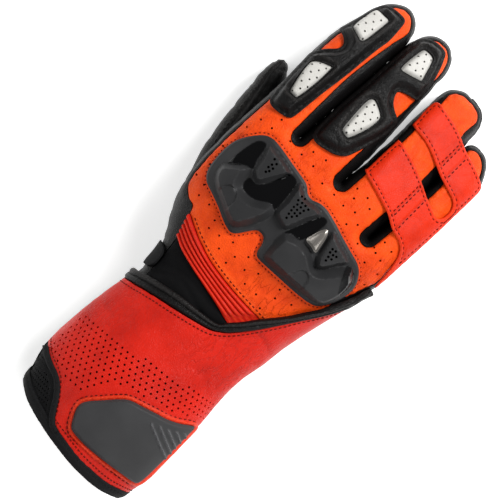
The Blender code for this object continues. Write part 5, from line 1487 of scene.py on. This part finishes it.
# The guard's raised shells: share of GUARD_RELIEF, bevel width, outline in (u, v)
GUARD_FORMS = (
    (1.00, 7.0, ((-78, 40), (-75, 46), (-62, 56), (-55, 57), (-50, 41), (-45, 37.5), (-32, 38),
        (-18, 46.5), (-10.5, 43), (-10, 33),
                 (-19, 14), (-28, 4.5), (-40, 7), (-52, 13), (-68, 21), (-76, 30))),
    (0.72, 4.5, ((-58.5, 86.5), (-45, 87), (-28, 84), (-24, 80), (-33, 62), (-40, 52.5), (-46, 52),
        (-52, 57), (-55.5, 70))),
    (0.78, 4.5, ((-13, 80.5), (-5, 79.5), (4, 75), (18, 77), (25.5, 73), (19, 58), (14, 45), (9, 38),
        (0, 39), (-9.5, 44), (-10.5, 60))),
    (1.00, 7.0, ((10.5, 34), (18, 40), (28, 43), (42, 42), (50, 37.5), (57, 33.5), (63, 37), (70, 46),
        (77, 55), (84, 60),
                 (92, 50), (93.5, 40), (91, 26), (85, 13), (76, 8), (58, 5), (38, 4), (16, 4), (11, 12))),
    (0.72, 4.5, ((44, 70.5), (60, 67), (76.5, 61), (71, 50), (63.5, 38), (57, 34.5), (51, 39),
        (47.5, 50))),
)
# The guard's polished recesses: u, v
GUARD_POLISHED = (
    ((-75.5, 46), (-71.6, 79), (-61, 85), (-57, 68), (-53.5, 59), (-62, 55)),
    ((-26, 80.5), (-14, 79.5), (-11, 62), (-10.3, 45), (-18, 46.5), (-31.6, 38.4), (-45, 37.5),
        (-51, 43), (-50, 51), (-41, 51.5), (-33, 62)),
    ((26, 73), (35, 71), (29.5, 44), (18, 40), (11, 36), (16, 50)),
    ((78, 58), (88, 57.5), (94, 46), (93, 37), (85, 33), (79, 45)),
)
# Where the guard's shells step down: u, v
GUARD_STEPS = (
    ((-79, 37), (-70, 24), (-63, 21), (-58, 32), (-53, 34), (-46, 31), (-43, 24), (-44, 8), (-60, 8),
        (-79, 20)),
    ((38, 2), (42, 12), (46, 22), (51, 25.5), (57, 23), (60, 15), (60, 2)),
)
GUARD_VENTS = (
    (-45, 80), (-40.5, 78), (-43.2, 74.5), (-40, 72.5), (-44, 70.5), (-40.8, 68.4), (-42.6, 65.6),
    (-1.5, 73.6), (2.5, 74), (-1.6, 68.6), (3, 69.4), (7.4, 69.6), (12, 69), (0.8, 65), (5.2, 65.4),
    (9.6, 65),
    (0, 60.8), (4.4, 61), (8.8, 60.8), (0.6, 56.6), (5, 56.8), (8.4, 56.6), (1.2, 52.4), (5.4, 52.4),
    (2.4, 48),
    (54.4, 58.6), (58, 59.2), (54.8, 54.8), (58.6, 55), (62, 56), (56.6, 50.6), (60.4, 51), (57.4, 46.6),
)


def make_guard(skin, outline):
    """The hard knuckle guard: satin shells and vented ramps round polished recesses."""
    slider = even_outline(SLIDER, PLATE_PITCH)
    forms = [(share, units_across(bevel), even_outline(form, 0.0006)) for share, bevel, form in GUARD_FORMS]
    recesses = [even_outline(form, 0.0006) for form in GUARD_POLISHED]
    steps = [even_outline(line, 0.0005) for line in GUARD_STEPS]

    def outer(plan):
        rise = np.zeros(len(plan))
        for share, bevel, form in forms:
            inside = is_inside(form, plan)
            distance = nearest_on(loop(form), plan)[0]
            dome = 0.90 * np.clip(distance / bevel, 0, 1) + 0.10 * np.clip(distance / (3.0 * bevel), 0, 1)
            rise = np.maximum(rise, np.where(inside, share * dome, 0.0))
        rim = distance_to([outline], plan)
        edge = smoothstep(distance_to([outline, slider], plan) / units_across(2.4))
        polish = np.zeros(len(plan))
        for k, recess in enumerate(recesses):
            depth = depth_inside(recess, plan)
            share = smoothstep((depth + 0.0001) / 0.0006)
            polish = np.maximum(polish, share * (0.72 if k == 3 else 1.0))
        rise_m = GUARD_FLANGE * (0.45 + 0.45 * smoothstep(rim / 0.0014)) + GUARD_RELIEF * rise * edge
        for step in steps:
            depth = depth_inside(step, plan)
            rise_m -= 0.0010 * smoothstep((depth + 0.0002) / 0.0007) * smoothstep((rise - 0.3) / 0.5)
        return LAYER_GAP + rise_m, {"gloss": polish}

    overlay(
        "knuckle_guard", skin, outline, PLATE_PITCH * 0.82, outer, moulded_guard,
        [inset_by(slider, WINDOW_LAP)], metres(GUARD_VENTS), units_across(1.35), 35,
    )
    inset = inset_by(slider, PANEL_INSET)

    def bulge(plan):
        edge = distance_to([inset], plan)
        crown = patch(plan, 41, 60, 17, 40)
        return LAYER_GAP + 0.0022 + 0.0030 * crown + 0.0006 * smoothstep(edge / 0.0014), {}

    overlay("guard_slider", skin, inset, PLATE_PITCH * 0.8, bulge, metallised_plastic)


def make_finger_strap(skin, thread):
    """The red strap over the ring and little fingers, stitched all round, with two upright
    seams, and drawn in over the gap between the fingers."""
    outline = even_outline(FINGER_STRAP, PLATE_PITCH)
    seams = [metres([(u, 60), (u, 240)]) for u in (74.0, 86.0)]

    def outer(plan):
        edge = distance_to([outline], plan)
        upright = np.min([nearest_on(line, plan)[0] for line in seams], axis=0)
        fold = 0.45 * creases(plan, 0.014, 0.006, 78, 101) * smoothstep(edge / 0.003)
        rise = STRAP_THICKNESS * (0.6 + 0.4 * smoothstep(edge / 0.0007))
        rise -= 0.00035 * bell(edge, 0.00045, 0.0016) + 0.0005 * bell(upright, 0.0005)
        rise += puckers(plan, edge - 0.0016, 0.005, 0.00012, 0.0014, 102)
        rise += 0.0002 * smooth_noise(plan, 0.011, 103) - 0.0004 * fold
        # Painted shade in the creases and in the grooves of the upright seams; the wear colour along the cut
        # edge
        dark = np.clip(0.4 * fold + 0.55 * bell(upright, 0.0004), 0, 1)
        return LAYER_GAP + rise, {"fold": dark, "wear_and_highlight": 0.6 * bell(edge, 0.0008)}

    overlay("finger_strap", skin, outline, PLATE_PITCH * 1.1, outer, strap_microfibre)
    path = even_path(loop(drawn_in(outline, 0.0016)), 0.0008)
    thread["dark_red"].row(path, skin, TOP, lambda spots: outer(spots)[0], pitch=LONG_STITCH_PITCH)
    for u in (72.4, 75.6, 87.4):
        line = metres(np.column_stack([np.full(400, u), np.linspace(100, 240, 400)]))
        inside = is_inside(outline, line) & (distance_to([outline], line) > 0.0022)
        for run in np.split(line, np.flatnonzero(np.diff(inside.astype(int))) + 1):
            if len(run) > 20 and is_inside(outline, run[len(run) // 2 :][:1])[0]:
                thread["dark_red"].row(run, skin, TOP, lambda spots: outer(spots)[0], pitch=LONG_STITCH_PITCH)


def make_wrist_strap(outline, skin):
    """The webbing strap that comes round the left of the wrist and across under the palm."""
    end_u, low_v, high_v = WRIST_STRAP
    columns = 25
    stretch = outline[:60, :2]
    v = np.linspace(low_v, high_v, columns)
    y = metres(np.column_stack([v, v]))[:, 1]
    edge = np.column_stack([np.interp(y, stretch[:, 1], stretch[:, 0]), y])
    inward = np.tile([1.0, 0.0], (columns, 1))
    rows = []
    corner = np.clip(1 - np.abs(np.linspace(-1, 1, columns)) ** 3.5, 0.02, 1)[:, None] ** 0.5
    over = np.linspace(1, 0, 16) ** 1.6 * 8.5
    under = np.linspace(0, 1, 26)[1:] ** 1.6 * 36.0
    for side, depths in ((TOP, over), (BOTTOM, under)):
        for depth in depths:
            if depth:
                taper = corner if side == TOP else 1.0
                rows.append(skin.lifted(edge + inward * units_across(depth) * taper, side))
            else:
                rows.append(skin.lifted(edge, side, np.zeros(columns), inward))
    start = edge + inward * units_across(36.0)
    bow = units_across(5.0) * np.abs(np.linspace(-1, 1, columns)) ** 2
    for share in np.linspace(0, 1, 30)[1:]:
        end_x = metres([(end_u, 0)])[0, 0] - bow * share
        plan = np.column_stack([start[:, 0] + (end_x - start[:, 0]) * share, start[:, 1]])
        rows.append(skin.lifted(plan, BOTTOM))
    count = len(rows)
    points = np.stack([row[0] for row in rows], 1).reshape(-1, 3)
    normals = np.stack([row[1] for row in rows], 1).reshape(-1, 3)
    across = np.abs(np.repeat(np.linspace(-1, 1, columns), count))
    thick = STRAP_THICKNESS * (0.65 + 0.35 * smoothstep((1 - across) / 0.16))
    thick -= 0.0003 * bell(across, 0.05, 0.78)
    sewn(
        "wrist_strap", points, normals, grid_faces(columns, count), STRAP_GAP + thick, STRAP_GAP,
        binding_tape,
    )


# The cuff
# Where the cuff's width is measured for unrolling it, in v
ARC_V = -190.0
WRAP_SAMPLES = 1200
HEIGHT_SAMPLES = 1500


class Wrap:
    """The cuff's surface unrolled: a is the distance round from the right edge over the
    back, at the width that it has near its mouth, and y runs along the glove."""

    def __init__(self, skin):
        self.skin = skin
        rows = np.asarray(CUFF_SIDES, float)[::-1]
        self.sides = metres(rows[:, [1, 0]]), metres(rows[:, [2, 0]])
        self.share = share = (1 - np.cos(np.linspace(0, math.pi, WRAP_SAMPLES))) / 2
        y = metres([(0, ARC_V)])[0, 1]
        profile = {}
        for side in (TOP, BOTTOM):
            plan = self.over(share, np.full(WRAP_SAMPLES, y))
            plan[[0, -1]] += [[-1e-6, 0], [1e-6, 0]]
            height = skin.lifted(plan, side)[0]
            steps = np.linalg.norm(np.diff(height, axis=0), axis=1)
            profile[side] = np.concatenate([[0], np.cumsum(steps)])
        self.arc = profile
        self.around = profile[TOP][-1]
        self.under = profile[BOTTOM][-1]

    def over(self, share, y):
        """Plan points at shares of the way from the right edge to the left one."""
        left = np.interp(y, self.sides[0][:, 1], self.sides[0][:, 0])
        right = np.interp(y, self.sides[1][:, 1], self.sides[1][:, 0])
        return np.column_stack([right - share * (right - left), y])

    def plan(self, flat, side=TOP):
        return self.over(np.interp(flat[:, 0], self.arc[side], self.share), flat[:, 1])

    def flat(self, plan, side=TOP):
        left = np.interp(plan[:, 1], self.sides[0][:, 1], self.sides[0][:, 0])
        right = np.interp(plan[:, 1], self.sides[1][:, 1], self.sides[1][:, 0])
        share = np.clip((right - plan[:, 0]) / (right - left), 0, 1)
        return np.column_stack([np.interp(share, self.share, self.arc[side]), plan[:, 1]])

    def lifted(self, flat, side=TOP, split=True):
        """Points and normals on the skin. The edges stand half a seam apart."""
        plan = self.plan(flat, side)
        share = np.interp(flat[:, 0], self.arc[side], self.share)
        at_edge = (share < 1e-5) | (share > 1 - 1e-5)
        depth, inward = nearest_on(self.skin.edge, plan)
        beyond = at_edge | ~is_inside(self.skin.edge, plan)
        depth = np.where(beyond, 0.0, depth)
        outward = np.where(share < 0.5, -1.0, 1.0)
        inward = np.where(beyond[:, None], np.column_stack([outward, 0 * outward]), inward)
        points, normals = self.skin.lifted(plan, side, depth, inward)
        if side == BOTTOM:
            level = np.column_stack([-outward, 0 * outward, 0 * outward])
            normals = np.where(beyond[:, None], level, normals)
        if split:
            points[at_edge, 2] += SEAM_GAP / 2 * side
        return points, normals

    def heights_of(self, a, lines):
        """v at which each column meets lines v(u) that are drawn on the back."""
        v = np.linspace(80, -290, HEIGHT_SAMPLES)
        y = metres(np.column_stack([v, v]))[:, 1]
        rows = [catmull(line, 8) for line in lines]
        found = []
        for at in a:
            plan = self.plan(np.column_stack([np.full(HEIGHT_SAMPLES, at), y]))
            u = plan[:, 0] / ACROSS + PATTERN_CENTRE[0]
            below = [v - np.interp(u, row[:, 0], row[:, 1]) < 0 for row in rows]
            found.append([v[int(np.flatnonzero(each)[0])] for each in below])
        return np.array(found).T


def up_to_y(v):
    """Pattern v to metres along the glove."""
    return (np.asarray(v) - PATTERN_CENTRE[1]) * ALONG


def palm_lines(wrap, a):
    """v of the cuff's upper edge and mouth under the palm, at distances round from the right."""
    x = np.interp(a, wrap.arc[BOTTOM], wrap.share)
    steps = len(CUFF_COLUMNS) - 1
    quarter = np.interp(np.minimum(x, 1 - x) * 2, CUFF_COLUMNS, np.arange(steps + 1) / steps)
    share = np.where(x <= 0.5, quarter / 2, 1 - quarter / 2)
    rows = np.asarray(CUFF_PALM_EDGES, float)
    return np.interp(share, rows[:, 0], rows[:, 1]), np.interp(share, rows[:, 0], rows[:, 2])


def ring_piece(name, wrap, high, low, rows, profile, finish):
    """A closed band round the cuff between two lines. high and low hold v over the back
    and under the palm."""
    points, normals = [], []
    for side, a, top, foot in ((TOP, high[0], high[1], low[1]), (BOTTOM, high[2], high[3], low[3])):
        for share in np.linspace(0, 1, rows):
            y = up_to_y(top * (1 - share) + foot * share)
            place, normal = wrap.lifted(np.column_stack([a, y]), side, split=False)
            points.append(place)
            normals.append(normal)
    grid = [np.vstack([points[i], points[rows + i][1:-1][::-1]]) for i in range(rows)]
    ups = [np.vstack([normals[i], normals[rows + i][1:-1][::-1]]) for i in range(rows)]
    columns = len(grid[0])
    flat, up = np.vstack(grid), np.vstack(ups)
    share = np.repeat(np.linspace(0, 1, rows), columns)
    run = np.tile(np.linspace(0, 1, columns), rows)
    rise, levels = profile(share, run)
    free = smoothstep((flat[:, 2] - 0.0008) / 0.003)
    rise = np.where(up[:, 2] < -0.2, np.minimum(rise, flat[:, 2] * 0.8) * free, rise)
    faces = [face[::-1] for face in grid_faces(rows, columns, closed=True)]
    sewn(name, flat, up, faces, rise, -CUFF_LEATHER, finish, levels)
    return flat.reshape(rows, columns, 3), up.reshape(rows, columns, 3), rise.reshape(rows, columns)


# The perforations of the cuff lie between these two lines: u, v
CUFF_HOLES_TOP = (
    (-80, -163), (-55.6, -160), (-38, -156), (-15.6, -152), (8.4, -147.6), (34, -144), (64.4, -135.6),
    (92, -129),
)
CUFF_HOLES_FOOT = (
    (-80, -206), (-58.8, -214), (-39.6, -220), (-28.4, -220), (-20.4, -216), (-7.6, -201),
    (-1.2, -190), (8.4, -181),
    (30.8, -176.4), (50, -171), (74, -163), (90, -150),
)


def cuff_perforations(wrap, armour):
    """Staggered rows of holes on the unrolled cuff, clear of the plate."""
    top, foot = metres(CUFF_HOLES_TOP), metres(CUFF_HOLES_FOOT)
    step = units_across(7.2)
    spots = []
    for j in range(26):
        for i in range(30):
            round_cuff = 0.002 + (i + 0.5 * (j % 2)) * step
            spots.append((round_cuff, up_to_y(-122) - j * step * 0.8 - 0.09 * i * step))
    spots = np.array(spots)
    spots = spots[(spots[:, 0] > 0.004) & (spots[:, 0] < wrap.around - 0.012)]
    plan = wrap.plan(spots)
    below = plan[:, 1] < np.interp(plan[:, 0], top[:, 0], top[:, 1])
    over = plan[:, 1] > np.interp(plan[:, 0], foot[:, 0], foot[:, 1])
    clear = distance_to([armour], plan) > units_across(9)
    return spots[below & over & clear & ~is_inside(armour, plan)]


# The second tape that crosses the mesh in the cut-out: u, v
GUSSET_TAPE = ((-84, -232), (-66, -228), (-55.7, -226.4), (-44, -233), (-33, -246), (-25.7, -257))
MESH_HOLE_RADIUS = 0.0005
ROLL_WRINKLES = 95


def make_cuff_palm(wrap, top_ends, foot_ends):
    """The cuff's black underside, flat where it lies on the surface below. It meets the
    red leather at both sides, where the ends of its edges are given in v."""
    gap = SEAM_GAP / ALONG / 2
    rows, columns = 66, 120
    b = (1 - np.cos(np.linspace(0, math.pi, columns))) / 2 * wrap.under
    top, foot = palm_lines(wrap, b)
    top = top - WELT_PALM_DEPTH
    top[[0, -1]] = top_ends
    foot = foot + MOUTH_BAND_WIDTH / ALONG
    foot[[0, -1]] = foot_ends
    levels_v = [(top - gap) * (1 - s) + (foot + gap) * s for s in np.linspace(0, 1, rows)]
    flat = np.vstack([np.column_stack([b, up_to_y(v)]) for v in levels_v])
    points, normals = wrap.lifted(flat, BOTTOM)
    side = np.minimum(flat[:, 0], wrap.under - flat[:, 0])
    folds = creases(flat, 0.035, 0.007, 6, 121) * smoothstep(side / 0.004)
    rise = 0.0005 * smooth_noise(flat, 0.016, 122) * smoothstep(side / 0.003) - 0.0007 * folds
    rise = np.minimum(rise, points[:, 2] * 0.8) * smoothstep(points[:, 2] / 0.002)
    # Painted shade in the creases
    levels = {"fold": 0.5 * folds}
    inner = -CUFF_LEATHER - 0.0004 * (side > 0.001)
    sewn("cuff_palm", points, normals, grid_faces(rows, columns), rise, inner, black_cowhide, levels)


def make_gusset(wrap, a, red_foot, band_top):
    """The mesh sunk into the cut-out between the red leather and the band, with a second
    tape across it."""
    gap = SEAM_GAP / ALONG / 2
    open_part = red_foot - band_top > 2.2
    first = int(np.flatnonzero(open_part)[0])
    high = np.column_stack([a[first:], up_to_y(red_foot[first:] - 2 * gap)])
    low = np.column_stack([a[first:], up_to_y(band_top[first:] + gap)])[::-1]
    outline = np.vstack([
        even_path(high, 0.001)[:-1], even_path(np.array([high[-1], low[0]]), 0.001)[:-1],
        even_path(low, 0.001),
    ])
    step = 0.0022
    x = np.arange(a[first], wrap.around, step)
    y = np.arange(low[:, 1].min(), high[:, 1].max(), step)
    spots = np.stack(np.meshgrid(x, y), -1)
    spots[1::2, :, 0] += step / 2
    spots = spots.reshape(-1, 2)
    spots = spots[is_inside(outline, spots) & (distance_to([outline], spots) > 0.0012)]
    flat, faces = cut_out(outline, 0.0008, pricks=spots, prick_radius=MESH_HOLE_RADIUS)
    flat[np.abs(flat[:, 0] - wrap.around) < 1e-6, 0] = wrap.around
    points, normals = wrap.lifted(flat)
    plan = wrap.plan(flat)
    strip = even_path(metres(GUSSET_TAPE), 0.001)
    beside = nearest_on(strip, plan)[0]
    rise = -GUSSET_RECESS + 0.0007 * smoothstep((0.0017 - beside) / 0.0004)
    # Painted shade inside the holes of the mesh
    sunk, dark = pricked(flat, spots, 0.0007, MESH_HOLE_RADIUS)
    dark = dark * (beside > 0.0018)
    sunk = sunk * (beside > 0.0018)
    sewn(
        "cuff_gusset", points, normals, faces[:, ::-1], rise - sunk, -GUSSET_RECESS - 0.6 * CUFF_LEATHER,
        spacer_mesh, {"hole_shade": dark},
    )


def make_flap_binding(skin, thread):
    """The tape that binds the red leather's edge round the cut-out."""
    line = metres(catmull(CUFF_FOOT, 8))
    depth = nearest_on(skin.edge, line)[0]
    inside = is_inside(skin.edge, line) & (depth > units_across(3.0))
    line = even_path(line[inside & (line[:, 0] < metres([(-6, 0)])[0, 0])], 0.0008)
    way = np.gradient(line, axis=0)
    way /= np.linalg.norm(way, axis=1)[:, None]
    aside = np.column_stack([-way[:, 1], way[:, 0]])
    share = np.linspace(0.0, 1.0, 9)
    plan = np.stack([line + aside * (FLAP_BINDING_WIDTH * (s - 0.65)) for s in share], 1).reshape(-1, 2)
    points, normals = skin.lifted(plan, TOP)
    height = LAYER_GAP + BINDING_RISE * (0.55 + 1.1 * np.sin(math.pi * share) ** 0.6)
    sewn(
        "flap_binding", points, normals, grid_faces(len(line), 9), np.tile(height, len(line)), -0.0006,
        binding_tape,
    )
    middle = line + aside * (FLAP_BINDING_WIDTH * -0.05)
    thread["black"].row(middle, skin, TOP, LAYER_GAP + BINDING_RISE * 1.55, radius=FINE_THREAD)


def make_cuff(skin, armour, thread):
    """The gauntlet: red back with its perforations and folds, black underside, double roll
    round its upper edge, taped mouth, and the mesh in the cut-out at the left."""
    wrap = Wrap(skin)
    gap = SEAM_GAP / ALONG / 2
    band = MOUTH_BAND_WIDTH / ALONG
    a = np.linspace(0, wrap.around, 170)
    welt_top, welt_foot, red_foot, mouth = wrap.heights_of(a, (WELT_TOP, WELT_FOOT, CUFF_FOOT, MOUTH))
    band_top = mouth + band
    red_foot = np.where(red_foot < band_top + 4.0, band_top, red_foot)
    under = np.linspace(0, wrap.under, 150)
    palm_top, palm_mouth = palm_lines(wrap, under)
    welt_top = welt_foot + (welt_top - welt_foot) * (0.6 + 0.4 * smoothstep(a / 0.004))
    palm_top[[0, -1]] = welt_top[[0, -1]]
    palm_mouth[[0, -1]] = mouth[[0, -1]]

    upper = np.column_stack([a, up_to_y(welt_foot - 2 * gap)])
    lower = np.column_stack([a, up_to_y(red_foot + 2 * gap)])[::-1]
    right = np.array([lower[-1], upper[0]])
    left = np.array([upper[-1], lower[0]])
    outline = np.vstack([
        even_path(upper, CUT_PITCH)[:-1], even_path(left, CUT_PITCH)[:-1],
        even_path(lower, CUT_PITCH)[:-1], even_path(right, CUT_PITCH)[:-1],
    ])
    pricks = cuff_perforations(wrap, armour)
    flat, faces = cut_out(outline, CUT_PITCH, pricks=pricks, prick_radius=CUFF_HOLE_RADIUS)
    flat[np.abs(flat[:, 0]) < 1e-6, 0] = 0.0
    flat[np.abs(flat[:, 0] - wrap.around) < 1e-6, 0] = wrap.around
    points, normals = wrap.lifted(flat)
    plan = wrap.plan(flat)
    faces = faces[:, ::-1]
    foot_line = np.column_stack([a, up_to_y(red_foot)])
    top_line = np.column_stack([a, up_to_y(welt_foot)])

    def surface(flat, plan):
        foot = nearest_on(foot_line, flat)[0]
        top = nearest_on(top_line, flat)[0]
        edge = np.minimum(foot, top)
        border = -depth_inside(armour, plan)
        rise = -rolled_edge(edge, 0.0004) + puckers(flat, edge, 0.005, 0.0001, 0.003, 111)
        bead = bell(border, 0.00085, 0.0012)
        rise += 0.0008 * bead - 0.00035 * bell(border, 0.0006, 0.0026)
        rise -= 0.0006 * smoothstep(-border / 0.0008)
        broad = patch(plan, 60, -60, 60, 60) + patch(plan, 60, -110, 60, 40)
        broad += 0.5 * patch(plan, -60, -140, 60, 60)
        folds = np.clip(broad, 0, 1) * creases(flat, 0.04, 0.012, 12, 112) * smoothstep(edge / 0.004)
        rise += 0.00055 * smooth_noise(flat, 0.022, 113) + 0.0002 * smooth_noise(flat, 0.007, 114)
        rise -= 0.0011 * folds
        side = np.minimum(flat[:, 0], wrap.around - flat[:, 0])
        rise *= smoothstep(side / 0.002)
        # Painted shade in the folds and in the groove beside the bead round the plate; wear with a painted
        # highlight along the bead's crest
        dark = np.clip(0.5 * folds + 0.5 * bell(border, 0.0005, 0.0026), 0, 1)
        wear = np.clip(0.12 + broad, 0, 0.8)
        return rise, {"fold": dark, "wear_and_highlight": np.clip(0.85 * bead, 0, 1), "crease": wear}

    rise, levels = surface(flat, plan)
    # Painted shade inside the perforations
    sunk, dark = pricked(flat, pricks, 0.0012, CUFF_HOLE_RADIUS)
    levels["hole_shade"] = dark
    sewn(
        "cuff_back", points, normals, faces, rise - sunk, np.minimum(rise, 0) - CUFF_LEATHER, red_cowhide,
        levels,
    )
    border = even_path(loop(drawn_in(armour, -0.0026)), 0.0008)
    border = border[depth_inside(skin.edge, border) > 0.0012]
    for run in np.split(border, np.flatnonzero(np.linalg.norm(np.diff(border, axis=0), axis=1) > 0.002) + 1):
        if len(run) > 6:
            thread["dark_red"].row(run, skin, TOP, -0.0001, pitch=LONG_STITCH_PITCH)
    for line, away in ((top_line, -0.0028), (foot_line, 0.0030)):
        shifted = line[3:-3] + [0, away]
        thread["dark_red"].row(
            even_path(shifted, 0.001), wrap, TOP, lambda spots: surface(spots, wrap.plan(spots))[0]
        )

    make_cuff_palm(wrap, welt_foot[[0, -1]], band_top[[0, -1]])

    def double_roll(share, run):
        first = np.sqrt(np.clip(1 - ((share - 0.26) / 0.27) ** 2, 0, 1))
        second = np.sqrt(np.clip(1 - ((share - 0.76) / 0.25) ** 2, 0, 1))
        wave = 0.08 * np.sin(run * 2 * math.pi * ROLL_WRINKLES)
        rise = (WELT_RISE + 0.0006) * np.maximum(first, 0.85 * second) * (1 + wave * 0.3) - 0.0003
        # Painted shade in the valley between the two rolls, and a painted highlight on the first roll's crest
        return rise, {"fold": 0.7 * bell(share, 0.04, 0.52), "wear_and_highlight": 0.4 * first**8}

    lines_high = (a, welt_top, under, palm_top)
    palm_foot = palm_top - WELT_PALM_DEPTH + gap
    palm_foot[[0, -1]] = welt_foot[[0, -1]]
    lines_low = (a, welt_foot + gap, under, palm_foot)
    grid, ups, rises = ring_piece("cuff_welt", wrap, lines_high, lines_low, 17, double_roll, black_cowhide)
    sew_row(thread["black"], grid[9], ups[9], rises[9])

    def tape(share, run):
        rise = BINDING_RISE * (0.7 + 0.9 * np.sin(math.pi * np.clip(share * 1.15, 0, 1)) ** 0.7) - 0.0003
        rise -= 0.0003 * bell(share, 0.05, 0.3)
        return rise, {}

    lines_high = (a, band_top + BAND_LAP, under, palm_mouth + band + BAND_LAP)
    lines_low = (a, mouth, under, palm_mouth)
    grid, ups, rises = ring_piece("mouth_band", wrap, lines_high, lines_low, 11, tape, binding_tape)
    sew_row(thread["black"], grid[3], ups[3], rises[3])

    make_gusset(wrap, a, red_foot, band_top)
    make_flap_binding(skin, thread)


def sew_row(thread, line, ups, rises):
    """Stitches along one row of a ring, over the back."""
    place = line + ups * rises[:, None]
    steps = np.linalg.norm(np.diff(place, axis=0), axis=1)
    along = np.concatenate([[0], np.cumsum(steps)])
    starts = np.arange(0.002, along[-1] - 0.004, STITCH_PITCH)
    ends = [
        np.column_stack([np.interp(at, along, column) for column in place.T])
        for at in (starts, starts + STITCH_LENGTH)
    ]
    upright = np.column_stack([np.interp(starts, along, column) for column in ups.T])
    for a, b, up in zip(*ends, upright):
        if up[2] > -0.3:
            thread.stitch(a, b, up, FINE_THREAD)


ARMOUR_RIDGES = (
    ((50, -190.5), (86, -207)), ((58, -187), (86, -200)), ((66, -184), (86, -193.4)), ((73, -180),
        (86, -186.4)),
    ((79, -176), (86, -179.4)),
)


def make_armour(skin, outline):
    """The moulded plate on the cuff, with a bevelled rim and slanting raised ridges, which carry painted
    highlights.
    """
    ridges = [even_path(metres(line), 0.0005) for line in ARMOUR_RIDGES]

    def outer(plan):
        edge = distance_to([outline], plan)
        ridge = np.min([nearest_on(line, plan)[0] for line in ridges], axis=0)
        bevel = 0.75 * smoothstep(edge / 0.0016) + 0.12 * smoothstep((edge - 0.002) / 0.006)
        rise = 0.0008 + ARMOUR_THICKNESS * bevel
        rise += 0.0009 * smoothstep((0.0007 - ridge) / 0.0004) * smoothstep(edge / 0.0012)
        rise += 0.0002 * smooth_noise(plan, 0.03, 131)
        # Painted highlight along the raised ridges
        ridge_highlight = 0.8 * bell(ridge, 0.0006)
        return LAYER_GAP + rise - 0.0003, {"wear_and_highlight": ridge_highlight}

    overlay("cuff_armour", skin, outline, PLATE_PITCH, outer, moulded_armour, sharp=40)


# The scene
def make_studio():
    """A pale floor under a broad soft light from the right and a weaker one from the left,
    and a camera straight above, turned so that the glove lies across the picture."""
    floor_mesh = bpy.data.meshes.new("studio_floor")
    size, low = 3.0, -0.0006
    corners = [(-size, -size, low), (size, -size, low), (size, size, low), (-size, size, low)]
    floor_mesh.from_pydata(corners, [], [(0, 1, 2, 3)])
    floor = bpy.data.objects.new("studio_floor", floor_mesh)
    bpy.context.scene.collection.objects.link(floor)
    paper, shader = new_finish("pale_studio_paper", "#f7f7f6", 0.9, 0.2, 1.5)
    shader.inputs["Emission Color"].default_value = (1, 1, 1, 1)
    shader.inputs["Emission Strength"].default_value = 0.5
    floor_mesh.materials.append(paper)

    across, up = Vector((1, 1, 0)).normalized(), Vector((-1, 1, 0)).normalized()
    lamps = (
        ("key_softbox", across * 1.15 + up * 0.5 + Vector((0, 0, 1.05)), 0.7, 29.0),
        ("fill_softbox", across * -1.2 + up * 0.5 + Vector((0, 0, 1.0)), 1.0, 9.0),
        ("low_softbox", across * 0.2 + up * -1.2 + Vector((0, 0, 1.0)), 0.9, 9.0),
    )
    for name, place, width, power in lamps:
        light = bpy.data.lights.new(name, "AREA")
        light.shape = "SQUARE"
        light.size = width
        light.energy = power
        lamp = bpy.data.objects.new(name, light)
        lamp.location = place
        lamp.rotation_euler = (Vector((0, 0, 0.02)) - place).to_track_quat("-Z", "Y").to_euler()
        bpy.context.scene.collection.objects.link(lamp)
    world = bpy.data.worlds.new("studio_air")
    world.use_nodes = True
    world.node_tree.nodes["Background"].inputs["Color"].default_value = (1, 1, 1, 1)
    world.node_tree.nodes["Background"].inputs["Strength"].default_value = 0.2
    bpy.context.scene.world = world

    lens = bpy.data.cameras.new("camera")
    distance, seen = 2.2, 0.267
    lens.sensor_width = 36.0
    lens.lens = 36.0 * distance / seen
    camera = bpy.data.objects.new("camera", lens)
    middle = metres([(0, 0)])[0]
    camera.location = (middle[0], middle[1], 0.022 + distance)
    camera.rotation_euler = (0, 0, math.radians(45))
    bpy.context.scene.collection.objects.link(camera)
    bpy.context.scene.camera = camera
    bpy.context.scene.view_settings.view_transform = "Standard"


def make_glove():
    outline, breaks = hand_outline()
    rows = np.asarray(HAND_HEIGHTS, float)
    back, palm = Heights(rows[:, [0, 1, 2]]), Heights(rows[:, [0, 1, 3]])
    hand = Skin(outline[:, :2], back, palm)
    thread = {
        "dark_red": Thread("red_leather_stitches", dark_red_thread),
        "black": Thread("black_leather_stitches", black_thread),
    }
    guard_line = even_outline(KNUCKLE_GUARD, PLATE_PITCH)
    back_seam, palm_seam = make_belts(outline, breaks, hand)
    rib_top, rib_foot = metres(catmull(ACCORDION_TOP, 8)), metres(catmull(ACCORDION_FOOT, 8))
    left, right = back_seam[: len(back_seam) // 2], back_seam[len(back_seam) // 2 :]
    make_back(back_seam, rib_top, hand, guard_line, thread)
    make_accordion(left, right, rib_top, rib_foot, hand)
    make_wrist_back(left, right, rib_foot, hand)
    make_palm(palm_seam, hand, thread)
    make_thumb(thread)
    make_wrist_strap(outline, hand)
    make_pads(hand, thread)
    make_guard(hand, guard_line)

    slot = metres([(66, 84), (94, 240)])
    inside_slot = ((outline[:, :2] > slot[0]) & (outline[:, :2] < slot[1])).all(1)
    make_finger_strap(Skin(outline[~inside_slot, :2], back, palm), thread)

    sides = np.asarray(CUFF_SIDES, float)
    edge = metres(np.vstack([sides[::-1][:, [1, 0]], sides[:, [2, 0]]]))
    edge = at_lengths(edge, np.arange(0.0, lengths_along(edge)[-1], units_across(5.0)))
    cuff = Skin(edge, back, palm, CUFF_CLEARANCE)
    armour = even_outline(CUFF_ARMOUR, PLATE_PITCH)
    make_cuff(cuff, armour, thread)
    make_armour(cuff, armour)
    for each in thread.values():
        each.made()


make_glove()
make_studio()
